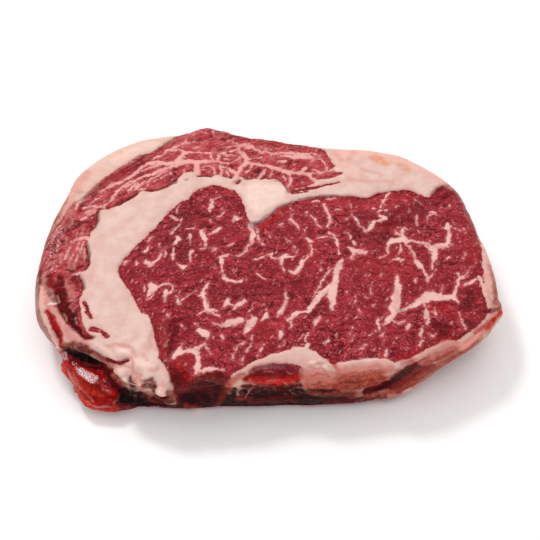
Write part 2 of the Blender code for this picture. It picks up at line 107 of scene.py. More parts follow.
# Fat drawn inside the eye muscle: x, y and half width at each point of a strand
EYE_VEINS = """
-20.8 22 .5, -20.5 20.5 .7, -20.6 18.2 .9, -21 16.4 .4 | -20.3 21.3 .4, -18.8 22.3 .4, -17.4 23 .3
-32.8 15.5 .25, -32.5 17.5 .25, -31.8 19.2 .2 | -34.6 14 .6, -33.5 12.9 .6, -32.4 12.2 .4
-30.9 13 .4, -31.2 11 .4, -32 9 .35, -33.2 7 .4, -34.3 5.6 .5
-31.9 4 .8, -31.3 3 .9, -32.2 1.8 .6, -32.7 .8 .3
-23 8 .3, -23.7 6.3 .8, -23 4.6 .9, -22.4 3.4 .9, -22.2 1.8 .5, -22.3 .2 .2
-21.6 4.8 .3, -19.5 6 .4, -17.8 7.5 .5, -17.1 8.6 .3 | -12.3 13.2 .7, -11.6 12.6 .7
-12.4 12.6 .3, -12.8 11.4 .2 | -15.2 -.3 .3, -14 .5 .4, -12.3 1.3 .3
-27 -2.5 .4, -27.2 -4 .5, -27.3 -6 .3, -27.2 -8 .2 | -33 -1 .2, -33 -3 .4, -33.2 -4.5 .8, -33 -6.4 .3
-42.4 -6 .4, -42 -7.6 .7, -41 -8.8 .7, -40 -7.4 .5, -38.3 -6 .5, -37.4 -3.8 .2
-31.4 -8.2 .3, -30.3 -9.2 .6, -29.3 -9.6 .7, -28.3 -9 .4 | -29.8 -9.5 .4, -29.2 -10.8 .2
-43 -3 .4, -42.3 -1.8 .5, -41.7 -.3 .3 | -42.3 2 .3, -41.5 3.2 .35, -40.8 4.2 .2
-49.3 -7.9 .5, -48.4 -6.7 .3 | -45.5 -8 .35, -45.6 -6.8 .2
-17.6 -5.3 .3, -15.5 -4.8 .5, -13.8 -4.2 .4, -12.5 -4.6 .2
-16.5 -5.2 .6, -16.2 -7 .75, -16.3 -8.6 .4, -16.4 -10.5 .35, -16.1 -12.5 .35, -15.4 -14.4 .5,
-13.5 -15.6 .6, -11.5 -16.3 .6, -9.4 -15.8 .3 | -28.6 8 .25, -26.4 7.8 .3
-27.8 5.2 .2, -27.6 3 .35, -27.8 .6 .2 | -36 0 .2, -35.8 -2 .3, -36 -4.4 .2 | -38.2 1.2 .3, -38 -.6 .2
-21 12.6 .3, -20.6 11 .3 | -18.6 13 .15, -17 14.5 .25, -16.3 16 .15 | -20 -2.2 .2, -18.4 -1.4 .3
-24 -1.6 .25, -22.4 -1 .25 | -4.6 8.4 .3, -4.5 6 .45, -4 4 .35, -3.4 1.8 .3, -2.4 .5 .2
7.2 12.2 .7, 7.9 11.2 .8, 9 9.4 .4, 10.4 7.6 .3 | 14.4 14.2 .3, 15.5 12.3 .4, 17.4 8.9 .25
19 19.4 .6, 19.6 17.2 .4, 20 15.5 .5, 21 14 .5, 21.2 12 .6, 20.8 10 .4, 20 8.3 .4
20.4 6.6 .25, 21.8 4.5 .35, 23 1.5 .5, 23.2 0 .4, 23.5 -3.6 .2 | 16.4 3.3 .3, 18 3.9 .5, 20.6 3.6 .3
12.7 3.2 .3, 13.5 2 .45, 14.6 2 .3 | 12.2 5.4 .15, 12 7.2 .2
25.4 6 .2, 27 6 .3, 27.5 4.5 .25, 27.8 2.6 .15 | 28.6 2 .4, 29.5 .8 .35
-5.6 -6.3 .3, -4 -6 .4, -2 -4.8 .4, 0 -4.2 .5, .6 -3.5 .2
0 -4.5 .3, 1 -5.7 .35, 3.5 -5.8 .5, 5 -4.8 .5, 5.6 -3.9 .2 | 5 -5 .3, 6.5 -5.1 .3, 8.2 -5 .2
4 -6 .5, 3.9 -8 .5, 4.3 -10 .35, 5.1 -12.2 .2 | 9.4 -1.9 .2, 9 -3.6 .2 | 8 -.4 .15, 8.8 -3 .2
13 -4 .3, 12.5 -5.5 .4, 11 -7.2 .6, 10.2 -9.2 .8, 9.4 -11 .8, 8.3 -12.8 .7, 6.8 -11.6 .4
13.8 0 .3, 14.2 -2 .5, 14 -4.4 .4 | 14.3 -1 .25, 15.9 -2.1 .2
26.8 -.9 .4, 28.3 -2 .9, 30.3 -2.5 1.1, 32.4 -3 .9 | 28.5 -2.6 1, 28.8 -4 .8, 27.4 -6.2 .3
25 -6 .3, 24 -7.8 .9, 23.3 -9.5 1.2, 22.6 -12 1.1, 22.3 -14.5 1
22.3 -14.5 1.1, 21.2 -17.6 1.4, 20.7 -21 1.4, 20.8 -24.6 1.1, 20 -28.6 .4
20.8 -17 .9, 18.5 -20 1, 16 -22.8 1.1, 14 -26 .9, 12 -29.2 .4
21 -10.6 .3, 19 -13 .35, 17.4 -16 .35, 16.4 -19 .3, 15 -21.2 .3, 14 -23 .2 | 17 -9.6 .3, 17.3 -11.2 .2
28 16.2 .25, 28.8 15 .4, 29.8 13 .35, 31 11 .3 | 24.6 17 .3, 23.1 16.8 .3 | 26.5 12.3 .35, 26.8 12 .3
28 19.4 .4, 28.3 18.8 .3 | 15 21 .3, 17.2 21.3 .45 | 20 21.8 .3, 23 22.2 .3 | 7.2 17.6 .3, 8.1 16.4 .25
13 15.5 .35, 13 14.2 .25 | 3 9.6 .15, 4 9 .2, 4.3 10.2 .15 | 5.1 3.6 .15, 7.1 1.9 .2 | -.4 5 .15, 0 3.4 .2
3.6 15.2 .3, 2.2 14.8 .3 | 42.6 25.2 .3, 41 22.5 .4, 40 20.5 .35, 39.1 18.4 .3
39.6 17.1 .35, 38.2 16 .4, 38.5 14.5 .5, 40.2 13 .8, 38.6 11.8 .7, 36.6 11 .7, 36 9.5 .6, 35 8 .7,
33.7 6.9 .4 | 33.3 5.8 .4, 32.5 7.8 .5, 31 10 .4, 30.3 12 .35, 28.9 15 .25 | 34 17.8 .25, 35.4 17.8 .25
36.4 17.6 .45, 36.8 17.3 .4 | 47.2 21.6 .35, 47.5 21.2 .3 | 51 21.8 .25, 53 21.3 .3, 53.5 20 .25
44.2 18.3 .4, 44.4 17.7 .3 | 41.6 16.9 .25, 40.4 16.4 .25 | 56 16.1 .3, 57.5 15.8 .4, 58.9 13.9 .3
51.2 9.4 .2, 51.3 12 .25, 51.8 14.6 .2 | 54.5 10.4 .2, 55.5 13 .25, 57 15 .2
62.5 11 .2, 62.3 9.4 .8, 61.9 8.2 1, 60.7 7.8 .5 | 63.4 9 .3, 64.6 8 .25
62.2 8.2 .7, 62 6 .6, 61.8 3.5 .6, 61.5 1.5 .7, 60.4 0 .8
60.6 0 .8, 58 -.2 .9, 56.5 -.8 1.1, 55.6 -1.6 1.2
56.2 -1.5 1.3, 56.2 -3.6 1.1, 55.6 -6.6 .7, 55.2 -10.2 .3 | 62.6 .6 .3, 60.5 -1 .4, 58.4 -1.5 .4
54.8 .3 .4, 52 1.3 .4, 49.5 2 .45, 47.5 2.6 .6, 46 3.5 .8 | 53.2 0 .2, 54.5 -2 .3, 55.3 -5 .2
40.3 .8 .5, 43 2.6 1, 45.6 3 1.3, 46.6 1.8 1 | 46 4 .7, 46 6 .5, 46.3 7.6 .35
44.9 8.6 .25, 47 8 .3, 48.1 7.4 .2 | 45 5 .3, 43.5 6 .35, 43.3 7.4 .2
46.6 1 .6, 47.5 0 .5, 48.5 -2 .45, 49.3 -5 .4, 49.9 -8 .4, 50.6 -10.2 .25
50.2 -7 .5, 51 -8.4 .8, 52 -11 .4, 52.8 -13.4 .5, 52.8 -16 .2 | 55 -12.4 .3, 53.4 -14.6 .4
44.8 1 .3, 45 -1 .3, 44.5 -3 .3, 43 -4.9 .2
41 1 .35, 40.2 -1 .4, 40.2 -3.5 .3, 39 -4.6 .3, 37.4 -5.6 .25 | 41 -7.1 .3, 42.5 -6 .4, 44 -6 .35
44.4 -7.1 .2, 45.6 -6.4 .25 | 68.7 -9.3 .2, 67 -11 .3, 65.8 -13 .35, 64.1 -14.8 .6
63.2 -12.4 .3, 63.9 -14.2 .6, 63 -17 .6, 62 -19.6 .5, 61.3 -22 .6 | 66.9 -4 .15, 66 -6.1 .2
61.6 -5 .15, 60 -6.1 .2 | 63.3 18.5 .4, 63.5 18 .3 | 67.5 8 .25, 67.6 7.5 .2 | 65.8 7.3 .25, 66 7 .2
55 1.8 .3, 55.2 1.4 .2 | 51.5 6.8 .35, 51.6 6.4 .3 | 58 5 .3, 58.2 4.6 .25 | 64.3 11 .25, 64.4 10.6 .2
-39.9 -17.2 1.1, -38.5 -18.3 1.3, -39.8 -20.2 1.1, -40.8 -22.2 .4 | -38 -18.6 .5, -36.4 -17.7 .3
-42.1 -17.9 .2, -41.8 -20 .3 | -38.7 -21 .2, -39.7 -23 .3, -41.1 -24.2 .2
-36 -17.3 .35, -34 -16.9 .35, -32.7 -17.6 .3, -32.5 -19.5 .3, -33.5 -21 .4
-34.7 -20 .8, -34.9 -22 .9, -35.4 -24.6 .3 | -31.1 -22.2 .3, -30.5 -24 .5, -29.8 -25.8 .5
-29.8 -24.4 .2, -27.5 -22 .25, -25.5 -20.5 .2, -24.5 -19 .15
-20.9 -16.8 .3, -21.9 -19 .7, -22.3 -21.4 .8, -23.8 -22.1 .25
-22.4 -21.6 .7, -21.2 -23.6 .7, -20.9 -26 .6, -21 -28 .8 | -21 -28.2 .6, -19 -28 .5, -17.6 -28.5 .25
-21.3 -28.6 .5, -23.6 -29.7 .3 | -13.4 -23.2 .25, -13.8 -24.6 .6, -15 -26 .4, -16.1 -27.3 .25
-14 -25 .3, -12.2 -25.6 .3 | -8.6 -24.2 .5, -10 -25.6 .8, -11.6 -27.4 .5 | -11.4 -27 .3, -9.4 -26.2 .25
-14.6 -34.4 .8, -12.6 -33.2 1.5, -10.6 -32.6 1.3, -9 -32.4 .7
-14.5 -34.3 .5, -16.5 -34.9 .35, -18.5 -33.8 .3, -19.6 -33.4 .2
-23.2 -36.8 1, -20.7 -38.2 1.5, -20.3 -39.6 .7 | -19.8 -29 .2, -18 -30 .3, -16.5 -30.5 .3, -16 -31.6 .15
-21.4 -42 .5, -23 -43.5 .8, -25 -44.5 .8, -27.5 -45.3 .8, -29.5 -46 .9, -30.9 -47.6 .5
-24.2 -45 1, -23.3 -47 .8, -23 -49 .7, -22.9 -51.6 1, -23.2 -53.6 .8
-23 -52.6 .9, -20.5 -52.5 .7, -18 -52.3 .5, -15.3 -52.3 .35 | -21 -42.4 .4, -20 -44.5 .35, -19 -46.1 .3
-34 -29.8 .35, -33.5 -31.6 .35 | -29.4 -34.4 .25, -27.7 -36.1 .25
-28.4 -42 .2, -29 -44 .4, -29.5 -45.2 .4 | -24.5 -33.6 .15, -24 -35.1 .2 | -15.5 -38.4 .3, -15.3 -40.4 .2
-9 -42 .4, -10.9 -43.4 .3, -11.3 -46 .4, -12 -49 .25
5.1 -20.2 .15, 5.5 -23 .55, 5.1 -26 .35, 4 -28.2 .7, 2.4 -30.8 .5 | 9.9 -28.7 .3, 7.8 -30 .8, 6.2 -32.4 .3
9.7 -28.8 .25, 12.1 -29.1 .3 | -.9 -28.9 .3, -1.4 -31 .9, -2.9 -32.6 .4
-6.4 -30.4 .4, -5.6 -32 1.1, -6.7 -34.4 1.2, -7.5 -36.8 .6, -8.4 -37.9 .15 | -2.4 -26 .5, -2.7 -26.5 .4
-6 -27.4 .15, -7 -29.1 .2 | 16.1 -30.9 .3, 15.7 -32.6 .7, 14.6 -35.2 .3
3.4 -36.8 .3, 3.8 -38.4 .6, 3.2 -40.4 .2 | -5.4 -38.9 .3, -6.3 -40.4 .3 | -8.4 -41.9 .4, -9.1 -42.9 .3
-6 -43.2 .2, -7.6 -45.1 .35 | -2.2 -42.4 .3, -2.8 -45 .4, -3.6 -46.6 .2 | -8.6 -47.9 .35, -9 -49.9 .3
3 -43.6 .2, 4.5 -42 .35, 5 -40.4 .2 | 12.3 -37.9 .2, 11.5 -41 .3 | 7 -32.9 .25, 6.5 -35.4 .2
29.4 -27.8 .25, 29.8 -30.1 .25 | 27.1 -35.4 .15, 26 -38.1 .3 | 27.6 -38.2 .15, 26 -40.6 .2
31.1 -42.4 .2, 29.5 -43.8 .55, 27.4 -44.9 .2 | 19.1 -40.4 .2, 17.4 -42.1 .4 | 25.8 -30.4 .15, 25 -31.6 .2
28.3 -22 .2, 28.3 -25.1 .25 | 25.6 -20.3 .25, 25.4 -20.9 .25 | -4.8 -11.9 .2, -3 -13.8 .25, -1.7 -15.2 .15
43.1 -13.4 .35, 42.5 -16 .8, 42.8 -19 1.1, 42.3 -22 1.6, 41.8 -25 1.8, 41 -28 1.7, 40 -30.6 1.1,
38.8 -32.6 .9, 37.3 -34.6 .5
42.3 -28.6 .8, 44.4 -28.2 .7, 46.4 -27 .9, 49 -25.2 1.2, 51.4 -23.6 1.7, 53.2 -22.1 2.1, 55 -22.8 1.7,
57.4 -23.2 1.3, 60 -23.1 1.2, 61.4 -23.6 .9, 62.6 -24.9 .4 | 57 -21.6 .35, 57.7 -19.5 .3, 57.5 -17.4 .15
51.3 -26 .35, 51.6 -28 .4, 51.8 -30 .8, 51.8 -32.2 .6, 51.2 -34.2 .3 | 49 -14.4 .25, 48.8 -16.1 .3
62.3 -28.9 .2, 62.7 -31.4 .4, 63.3 -34 .5, 63.8 -36.4 .3 | 54.8 -27.4 .25, 54.3 -30.6 .25
35.5 -31.9 .2, 35.2 -34.3 .5, 35.9 -36.2 .3 | 37.1 -37.2 .2, 36.3 -38.9 .6 | 36.9 -40.3 .3, 36.6 -40.9 .3
40.9 -32.9 .25, 42.4 -33.9 .5, 44.2 -32.7 .25 | 46.1 -32.9 .25, 45.3 -35 .4, 44.8 -36.9 .2
49.6 -36.2 .35, 48.8 -38.4 .4, 49.2 -40.6 .6, 48.2 -42.6 .25 | 51.9 -38 .2, 52.8 -39 .35, 54.1 -38 .2
41.3 -39.3 .35, 41 -39.9 .3 | 38.1 -43.9 .2, 37.5 -46 .35, 36.4 -48.1 .25 | 32 -38.6 .2, 34.1 -36.7 .3
33.8 -18.9 .25, 33.5 -21.1 .35 | 34.3 -25.8 .2, 34 -27 .2
65.2 -18 .3, 66.5 -16.8 .35, 68 -16 .3, 69.6 -15 .3 | 31.6 -22.8 .2, 32.4 -23.3 .25
37.9 -12.3 .3, 37.4 -13.4 .25
"""
LOBE_SEAM = "-6.9 9.4 1.1, -6.4 7 .9, -5.9 4.4 .8, -6.3 2 .7, -7 0 .5, -8 -2 .35, -9.5 -4 .3, -11.6 -4.6 .15"
CAP_VEINS = """
-60.6 24.8 .4, -58 27.2 .5, -54 29.6 .5, -50.5 32.5 .5, -48 35 .6, -46.3 37.5 .6, -44.5 39.2 .9,
-41 39.9 .9, -37 39.2 .7, -33.5 40.2 1.4, -30 40.6 1.2, -26 40.3 1, -22 40.3 .7, -20 40.4 .6
-60 23.3 .3, -58.4 25.4 .3
-58.6 18.4 .4, -56.5 21 .4, -55 24 .5, -53.5 26.8 .4, -51 29.5 .4, -47.5 31.5 .5, -45 33 .5, -42 34 .6,
-39.5 36 .8, -36.5 37.6 .8, -34 38.6 .7 | -55 24.4 .3, -52 27.2 .3, -49.3 29.5 .35, -46.4 32.1 .35
-50.5 25.9 .3, -49 28.2 .4, -46 30 .4, -44.4 30.7 .3 | -48.5 25.8 .4, -47 28.5 .35, -45.4 29.7 .3
-46.4 26.4 .6, -44.6 27.4 .5, -43.4 29 .3
-44.6 29.4 .3, -43 31.2 .35, -41 32.5 .35, -38 35.5 .4, -35.4 37.3 .4
-41.8 30.9 .2, -39.5 31.5 .25, -37.8 33 .25, -36 34 .25, -35.5 35.4 .2
-46.4 35.4 .3, -44 36.6 .4, -41.5 38.2 .4, -39.8 38.9 .5
-43.3 41.3 .35, -41 42.7 .45, -38.8 44 .5, -38 45.5 .5, -36 47 .5, -34 48.5 .4, -31 49.6 .4, -28 50.3 .35,
-25 50 .2
-38 45.6 .35, -36 46 .4, -33.4 46.2 .5, -31 45 .5, -28 44.8 .35, -24 45.2 .3, -20 45.2 .35, -17.5 44.8 .4,
-14 46 .5, -11.8 46.8 .4 | -35 46.6 .3, -33.5 48.5 .3, -31.5 49.5 .35, -30.8 52.6 .3
-34.6 47 .2, -32.5 47.6 .3, -31.4 49 .3 | -31.5 44.9 .5, -32 43.2 .8, -33.4 41.2 .9
-33.4 43.6 .3, -30.8 42.6 .4 | -27 40 .9, -26.6 37.6 .9, -26.4 34 1.1 | -30.8 36.4 .3, -30.6 34 .5
-24.2 38 .3, -22 38.2 .35, -20.5 37 .35, -20 34.4 .4 | -24.6 36.6 .2, -22.8 36 .25, -21.8 34.6 .25
-18 38 .25, -17.6 36 .3, -17.5 34.2 .4 | -15.6 36.4 .25, -15 33.6 .4
-19.4 44.6 .4, -18.6 43 .5, -19 41.2 .6, -17.4 39.8 .5, -15 39.6 .35, -13 40.6 .35, -11 42.6 .6
-17.6 44.4 .3, -15.6 43.6 .3, -13 43.5 .3, -11.4 42 .3 | -21 44.8 .3, -21.8 42.6 .3, -20.6 41 .4
-16.4 42.2 .2, -15 41.4 .3, -13.8 42.2 .2
-12 31 1.2, -12 34 1, -10.9 36.4 .8, -9.6 38.6 .8, -8.4 40.6 1, -8.6 42.6 .9, -10 44.2 .8, -11.4 45.6 .7,
-11.8 47.4 .5, -10.4 48.8 .4 | -12.6 35 .9, -14.4 35.8 .6, -15 37.2 .4, -18 37.8 .2
-8 40.2 .7, -5 39 .5, -3 38.8 .45, -1 38.4 .6, 1 37.6 .7, 4 36.3 .8, 7.4 35.3 .9
-1.8 36.6 .25, -3 34.5 .35, -4 32.2 .45 | -7.6 41.6 .4, -5.5 42.4 .3, -3 42.5 .2
-9.8 48.8 .5, -8.4 48.4 .6, -6.8 47.8 .5, -5 46.5 .5, -3 45.5 .6, -1 45 .6, 1 44.4 .5, 4 44.9 .45,
8 44.8 .45, 12 44 .5, 15.6 44.9 .4, 17 43.8 .3
-9.6 47 .3, -7.5 47 .3, -6.8 48.5 .3, -8 49.6 .4, -10 49.6 .4, -13 48.5 .3, -15 48 .3, -17.2 48 .2
-1 45.2 .3, -2 47.4 .35, -3.6 48.2 .2 | .5 44 .35, .4 42 .3, 1.6 41.4 .2 | -14 50.4 .4, -12 50 .5
-21 57 .3, -21.4 55.4 .25, -20.6 54 .2 | -26 56.6 .2, -24 55 .25 | .6 36 .2, .4 34 .3, -.2 32.4 .3
-6.6 39 .3, -7.4 37 .3, -8.6 35.6 .3
3 43 .4, 6 43.4 .6, 9 42.8 1, 12 42.5 1.1, 14.4 42.6 .9, 16 41.2 .6, 18.4 41.5 .5, 19.6 39.4 .4,
20.6 37.6 .4, 20.2 35.6 .5 | 3.4 40.6 .7, 5.4 40.8 .6
7.4 35.3 .9, 11 34.9 .8, 13.6 34.4 .9, 14.6 32.6 .7, 16 31 .8, 19 30.4 .6, 22.4 31.2 .7
7.5 35 .6, 7.6 32.6 .5, 7.2 30 .5, 6.6 28 .3 | 13 37.2 .5, 11.6 35.8 .7
14.8 34.6 .5, 17 34.2 .4, 18.4 34.8 .5, 21 35.2 .5, 23.4 36.2 .5 | 15.4 36.4 .3, 17.4 35.6 .4
17.4 42.6 .3, 19 43.4 .3 | 4.6 33.4 .3, 5.6 31.6 .25 | -68.4 2 .2, -66 3.1 .5, -63.6 3.6 .9, -61 2.6 1.2
-67.4 -13.6 .2, -65.4 -12.6 .5, -62.5 -12 1 | -66 12 .3, -63 15 .5, -61 16.6 .6
-68.6 -8 .2, -66.6 -3 .3, -65.8 2 .4 | -66.4 -10 .2, -65.4 -4 .25, -64.4 1.6 .3
-71 -9 .15, -69.6 -4 .2, -68.4 0 .2 | -63 -7 .2, -63.4 -2 .25
-65.6 17.4 .3, -63 18.6 .4, -60.4 18.2 .5, -58 17.4 .4 | -64 19.4 .3, -61 21.6 .3, -60 23.4 .3
-68.6 17 .4, -68 19.6 .4, -66.6 21.6 .3 | -65 15 .3, -62.4 17 .4 | -15.6 51 .3, -13 52 .2
-4 47.2 .2, -1.6 47.8 .2, 1 46.6 .25 | -28.4 47.4 .2, -25.6 47.8 .2
"""

# Lean drawn inside the fat: half width at start and end, then the points
MUSCLE_ISLANDS = """
.8 .6: -61.5 -25, -60.5 -28 | -60.4 -29, -58.7 -31.5
.8 .7: -58 -36, -55 -37, -53 -39
.8 .3: 8 25.4, 12 26.5, 17 27.8, 21 28.8, 24.8 29.8
.3 .2: 8 24.5, 13.4 25.5
.4 .3: -11.6 29.6, -10.8 30.8
"""

# Gaps and creases, sunk into the mesh and darkened with painted shade; the row from 10 21.7 is also the thin
# skin line along the eye's upper edge: half width, depth, darkness of the painted shade and the points
GAPS = """
.4 .6 .8: -60.4 16, -60 12.4, -60.8 9, -61.8 7 | -62.8 .4, -61.8 -4, -61.4 -8, -62.5 -11 | -9 31.8,
-7 31.8
.45 .5 .7: -64.3 -13.5, -62.8 -16, -62.2 -19
.3 .5 .7: -47.6 24.4, -50.5 21.2, -53 19.4 | -3.4 31.9, -2.6 31.9 | -.9 31.9, -.2 31.9
.35 .5 .8: -33.6 30, -37 27.8, -40.4 26.4, -42.4 26 | -21 33.2, -26 33
.4 .6 .7: -14 32.4, -17 33.3
.4 .5 .7: -11.8 29.6, -10.8 30.8
.3 .4 .7: -30 31, -29.6 31
.5 .5 .5: -28 22, -28.3 20, -28 18.5, -26.6 16.5, -25 15, -22.5 14.3, -20.5 13, -18 11, -16 10.8
.35 .4 .5: -28 20.5, -24.5 20.2 | -38 7.7, -35.5 8.2, -34 8.5 | -25 -3, -22 -2.5, -20.5 -3 | -29.5 -26,
-27 -27.5, -25 -28.8, -23.8 -29.5 | -14 -22, -12 -23, -10.5 -22.5
.35 .4 .4: -35 15, -30 14.5
.4 .4 .5: -33 -32.5, -31 -33, -29 -32, -27 -31, -25 -30.2
.4 .5 .5: -30.7 -35, -30.7 -40
.3 .3 .5: -27 -35, -24.5 -36.8 | 57 -7.5, 62 -8.3, 66 -8.3 | 60 12, 63 12
.3 .3 .4: -29 -20, -26.5 -20.3 | 40 10, 43 9.5 | 12 -15, 6 -16.6, 0 -17 | 31 10, 31.4 2, 33 1
.8 .5 .35: 42 12, 50 11.5, 51 9.5
.9 .8 .45: 52 21, 56 20, 58 19.5, 60 21, 63 24
.22 .1 .5: 10 21.7, 16 22.9, 24 23.4, 28 23.4, 32 22.5, 34.5 22, 38.5 25, 45 25.9, 49 26, 52 24.8
.22 .1 .45: 2 30.5, 4 30, 5.5 28, 6.5 25
"""

# Fat and lean laid over the front and the corners, in this order
SIDE_STROKES = """
lean 2.2 2.2: -66 -46.6, -60 -49.6, -54 -52.4, -49 -58
lean 3 3: -14 -65.6, 4 -65.6, 24 -65.2
lean 3.4 3.4: -78 -45, -74 -60, -60 -75
lean 5 5: -68 -52, -60 -62, -52 -66
lean 3 4: -52 -60, -46 -66, -36 -68
fat 1.5 1.5: -73.5 -20, -72 -26, -69.6 -32, -66 -36.6
fat 1.6 1.8: -66 -37.4, -61 -41, -56 -43.4, -51 -46
lean .8 .7: -73.6 -29, -70.6 -34.5, -68 -41
fat 2.2 2.2: -50 -46.6, -46.5 -46.4
fat 1.9 1.6: -44.5 -50.6, -42.5 -52
fat 2.4 2.4: -39.5 -50, -37.4 -52.6
fat 1.4 1.2: -49.4 -53, -47 -56
fat 1.3 1: -42 -56.6, -40 -60
lean .7 .6: -51.6 -48.6, -48 -50, -45.6 -49
fat 1.3 1.7: -34.4 -57, -34.2 -59.2, -34.2 -61
fat 1.8 2.6: -11 -55.4, -5 -51.4, 1 -48.8, 8 -46.8
fat 3.2 1.8: 9 -46.8, 14 -49, 19 -51.6
fat 1.3 1.3: 13 -51, 18 -51.6
lean 2.6 3: -4 -54, 2 -53, 7.6 -53.2
lean 2.6 2.6: -28 -58, -20 -59, -15 -59
fat 2.6 2.6: 21 -53.4, 28 -52, 36 -51.6, 40 -53
fat 3.4 3.4: 20 -57.6, 28 -56.4, 34 -55.6
fat 2.6 2.6: 18 -61.6, 26 -61.6, 31 -60.6
fat 1.6 2: 42 -51.6, 48 -47.6, 54 -44.6, 58 -42.4
fat 1.6 1.4: 60 -42.8, 66 -38.4, 71 -33.4, 76 -27.4
lean 1.2 2: 31 -60.6, 38 -58, 44 -54, 50 -49.6
lean 1.4 1.4: 40 -60.4, 46 -56.4, 52 -51.4
fat .7 .5: 70.4 -14, 71.4 -20, 72.6 -27
lean .7 .6: 72.6 -29, 77.4 -26.4
"""

# Soft spots of colour: strength, half width at start and end, softness and the points
# Darker patches of lean; the row along x -32 is painted shade in the crease beside the fold
DARK_LEAN = """
.5 3 2.5 3: -31 14, -31 -4
.35 3 3 3: 30 12, 44 14, 56 18
.45 3.2 3 2.5: 31 4, 40 3
.3 3 3 3: -36 5, -34 -2 | -14 -21, -4 -20, 6 -18
.5 1.2 1.2 1.5: -32 -34, -31.8 -44
.4 2 2 2: 16 -26, 18 -27
"""
BRIGHT_RED = """
.35 1.4 1.2 1.4: -36.6 -35, -35.4 -41, -34.4 -47
.3 2.5 2.5 3: 42 -3, 47 -5
.4 2.5 2 2: -29 -49.5, -26 -50
.3 3 3 3: 24 19.6, 34 19.4, 48 22.5 | -1 -34, -1 -38 | 70 12, 70 -4
.22 5 4 5: 32 -6, 46 -10
.35 2 2 2: 14 -1, 14 -5
"""
GREY = """
.85 .9 .9 .9: -7.2 10, -6 8.6
.9 .6 .5 .7: -6.4 10.2, -4 10.6, -.6 14.2
.8 .4 .35 .6: 0 14.6, 3 17.6, 8 20.8
.6 .25 .25 .5: 8 20.8, 14 22.6, 24 23.6
.6 .3 .5 .5: -31 -45.5, -32 -47, -32.7 -49
.5 .6 .6 .8: 42.6 -28.4, 44.4 -28.6
"""
# Painted highlights: the wet glints on the left rim, the flap, the fold and the tip
GLINT = """
.72 1.8 2.4 2.4: -73.4 8, -73.8 -3, -74.2 -10
.4 1.6 1.6 2: -69.6 12, -68.4 2
1 .7 .6 .8: -66.2 -46.2, -65.4 -48
.9 .5 .7 .8: -63 -49.8, -61.4 -51.8, -59.6 -53.6
1.3 1 1.6 .9: -60.4 -52.8, -58.4 -54.4, -56 -56.2
.9 .4 .4 .6: -52.4 -56.4, -52.2 -57
.45 1.2 1.2 1.2: 66.6 -27, 69 -29.6
.3 2 2 2: -68 -28, -64 -34
.2 1.6 1.6 2: -72 -17, -70 -22
.4 1.6 1.6 1.5: -36 -36, -34.4 -46
"""

# Small shifts of the outline: the middle, the reach and the shift
SHIFTS = (
    ((-67, -46), 10, (2.6, 1.0)), ((-71, -36), 5, (1.4, 0.2)),
)

# Colours for the rims, walls and loose corner, and the relief that some of them bring; the two darkest are
# painted shade in hollows and the whitest is a painted highlight
PALETTE = {
    "black": (26, 3, 3), "umber": (54, 9, 9), "maroon": (88, 11, 13), "wine": (122, 14, 17),
    "red": (184, 28, 26), "scarlet": (200, 54, 40), "plum": (150, 44, 58), "brown": (112, 50, 42),
    "rust": (158, 70, 58), "clay": (186, 106, 94), "rose": (214, 138, 128), "pink": (233, 176, 166),
    "cream": (246, 212, 200), "peach": (230, 188, 173), "salmon": (238, 184, 168), "amber": (226, 154, 122),
    "grey": (160, 112, 106), "lilac": (150, 108, 112), "white": (252, 240, 236), "blush": (220, 148, 136),
    "lump": (245, 208, 196),
}
PRESS = {"black": -1.1, "umber": -0.7, "maroon": -0.35, "blush": -0.55, "lump": 0.7, "cream": 0.4,
         "pink": 0.25, "rose": 0.2, "clay": 0.15, "scarlet": 0.2, "white": 0.1}
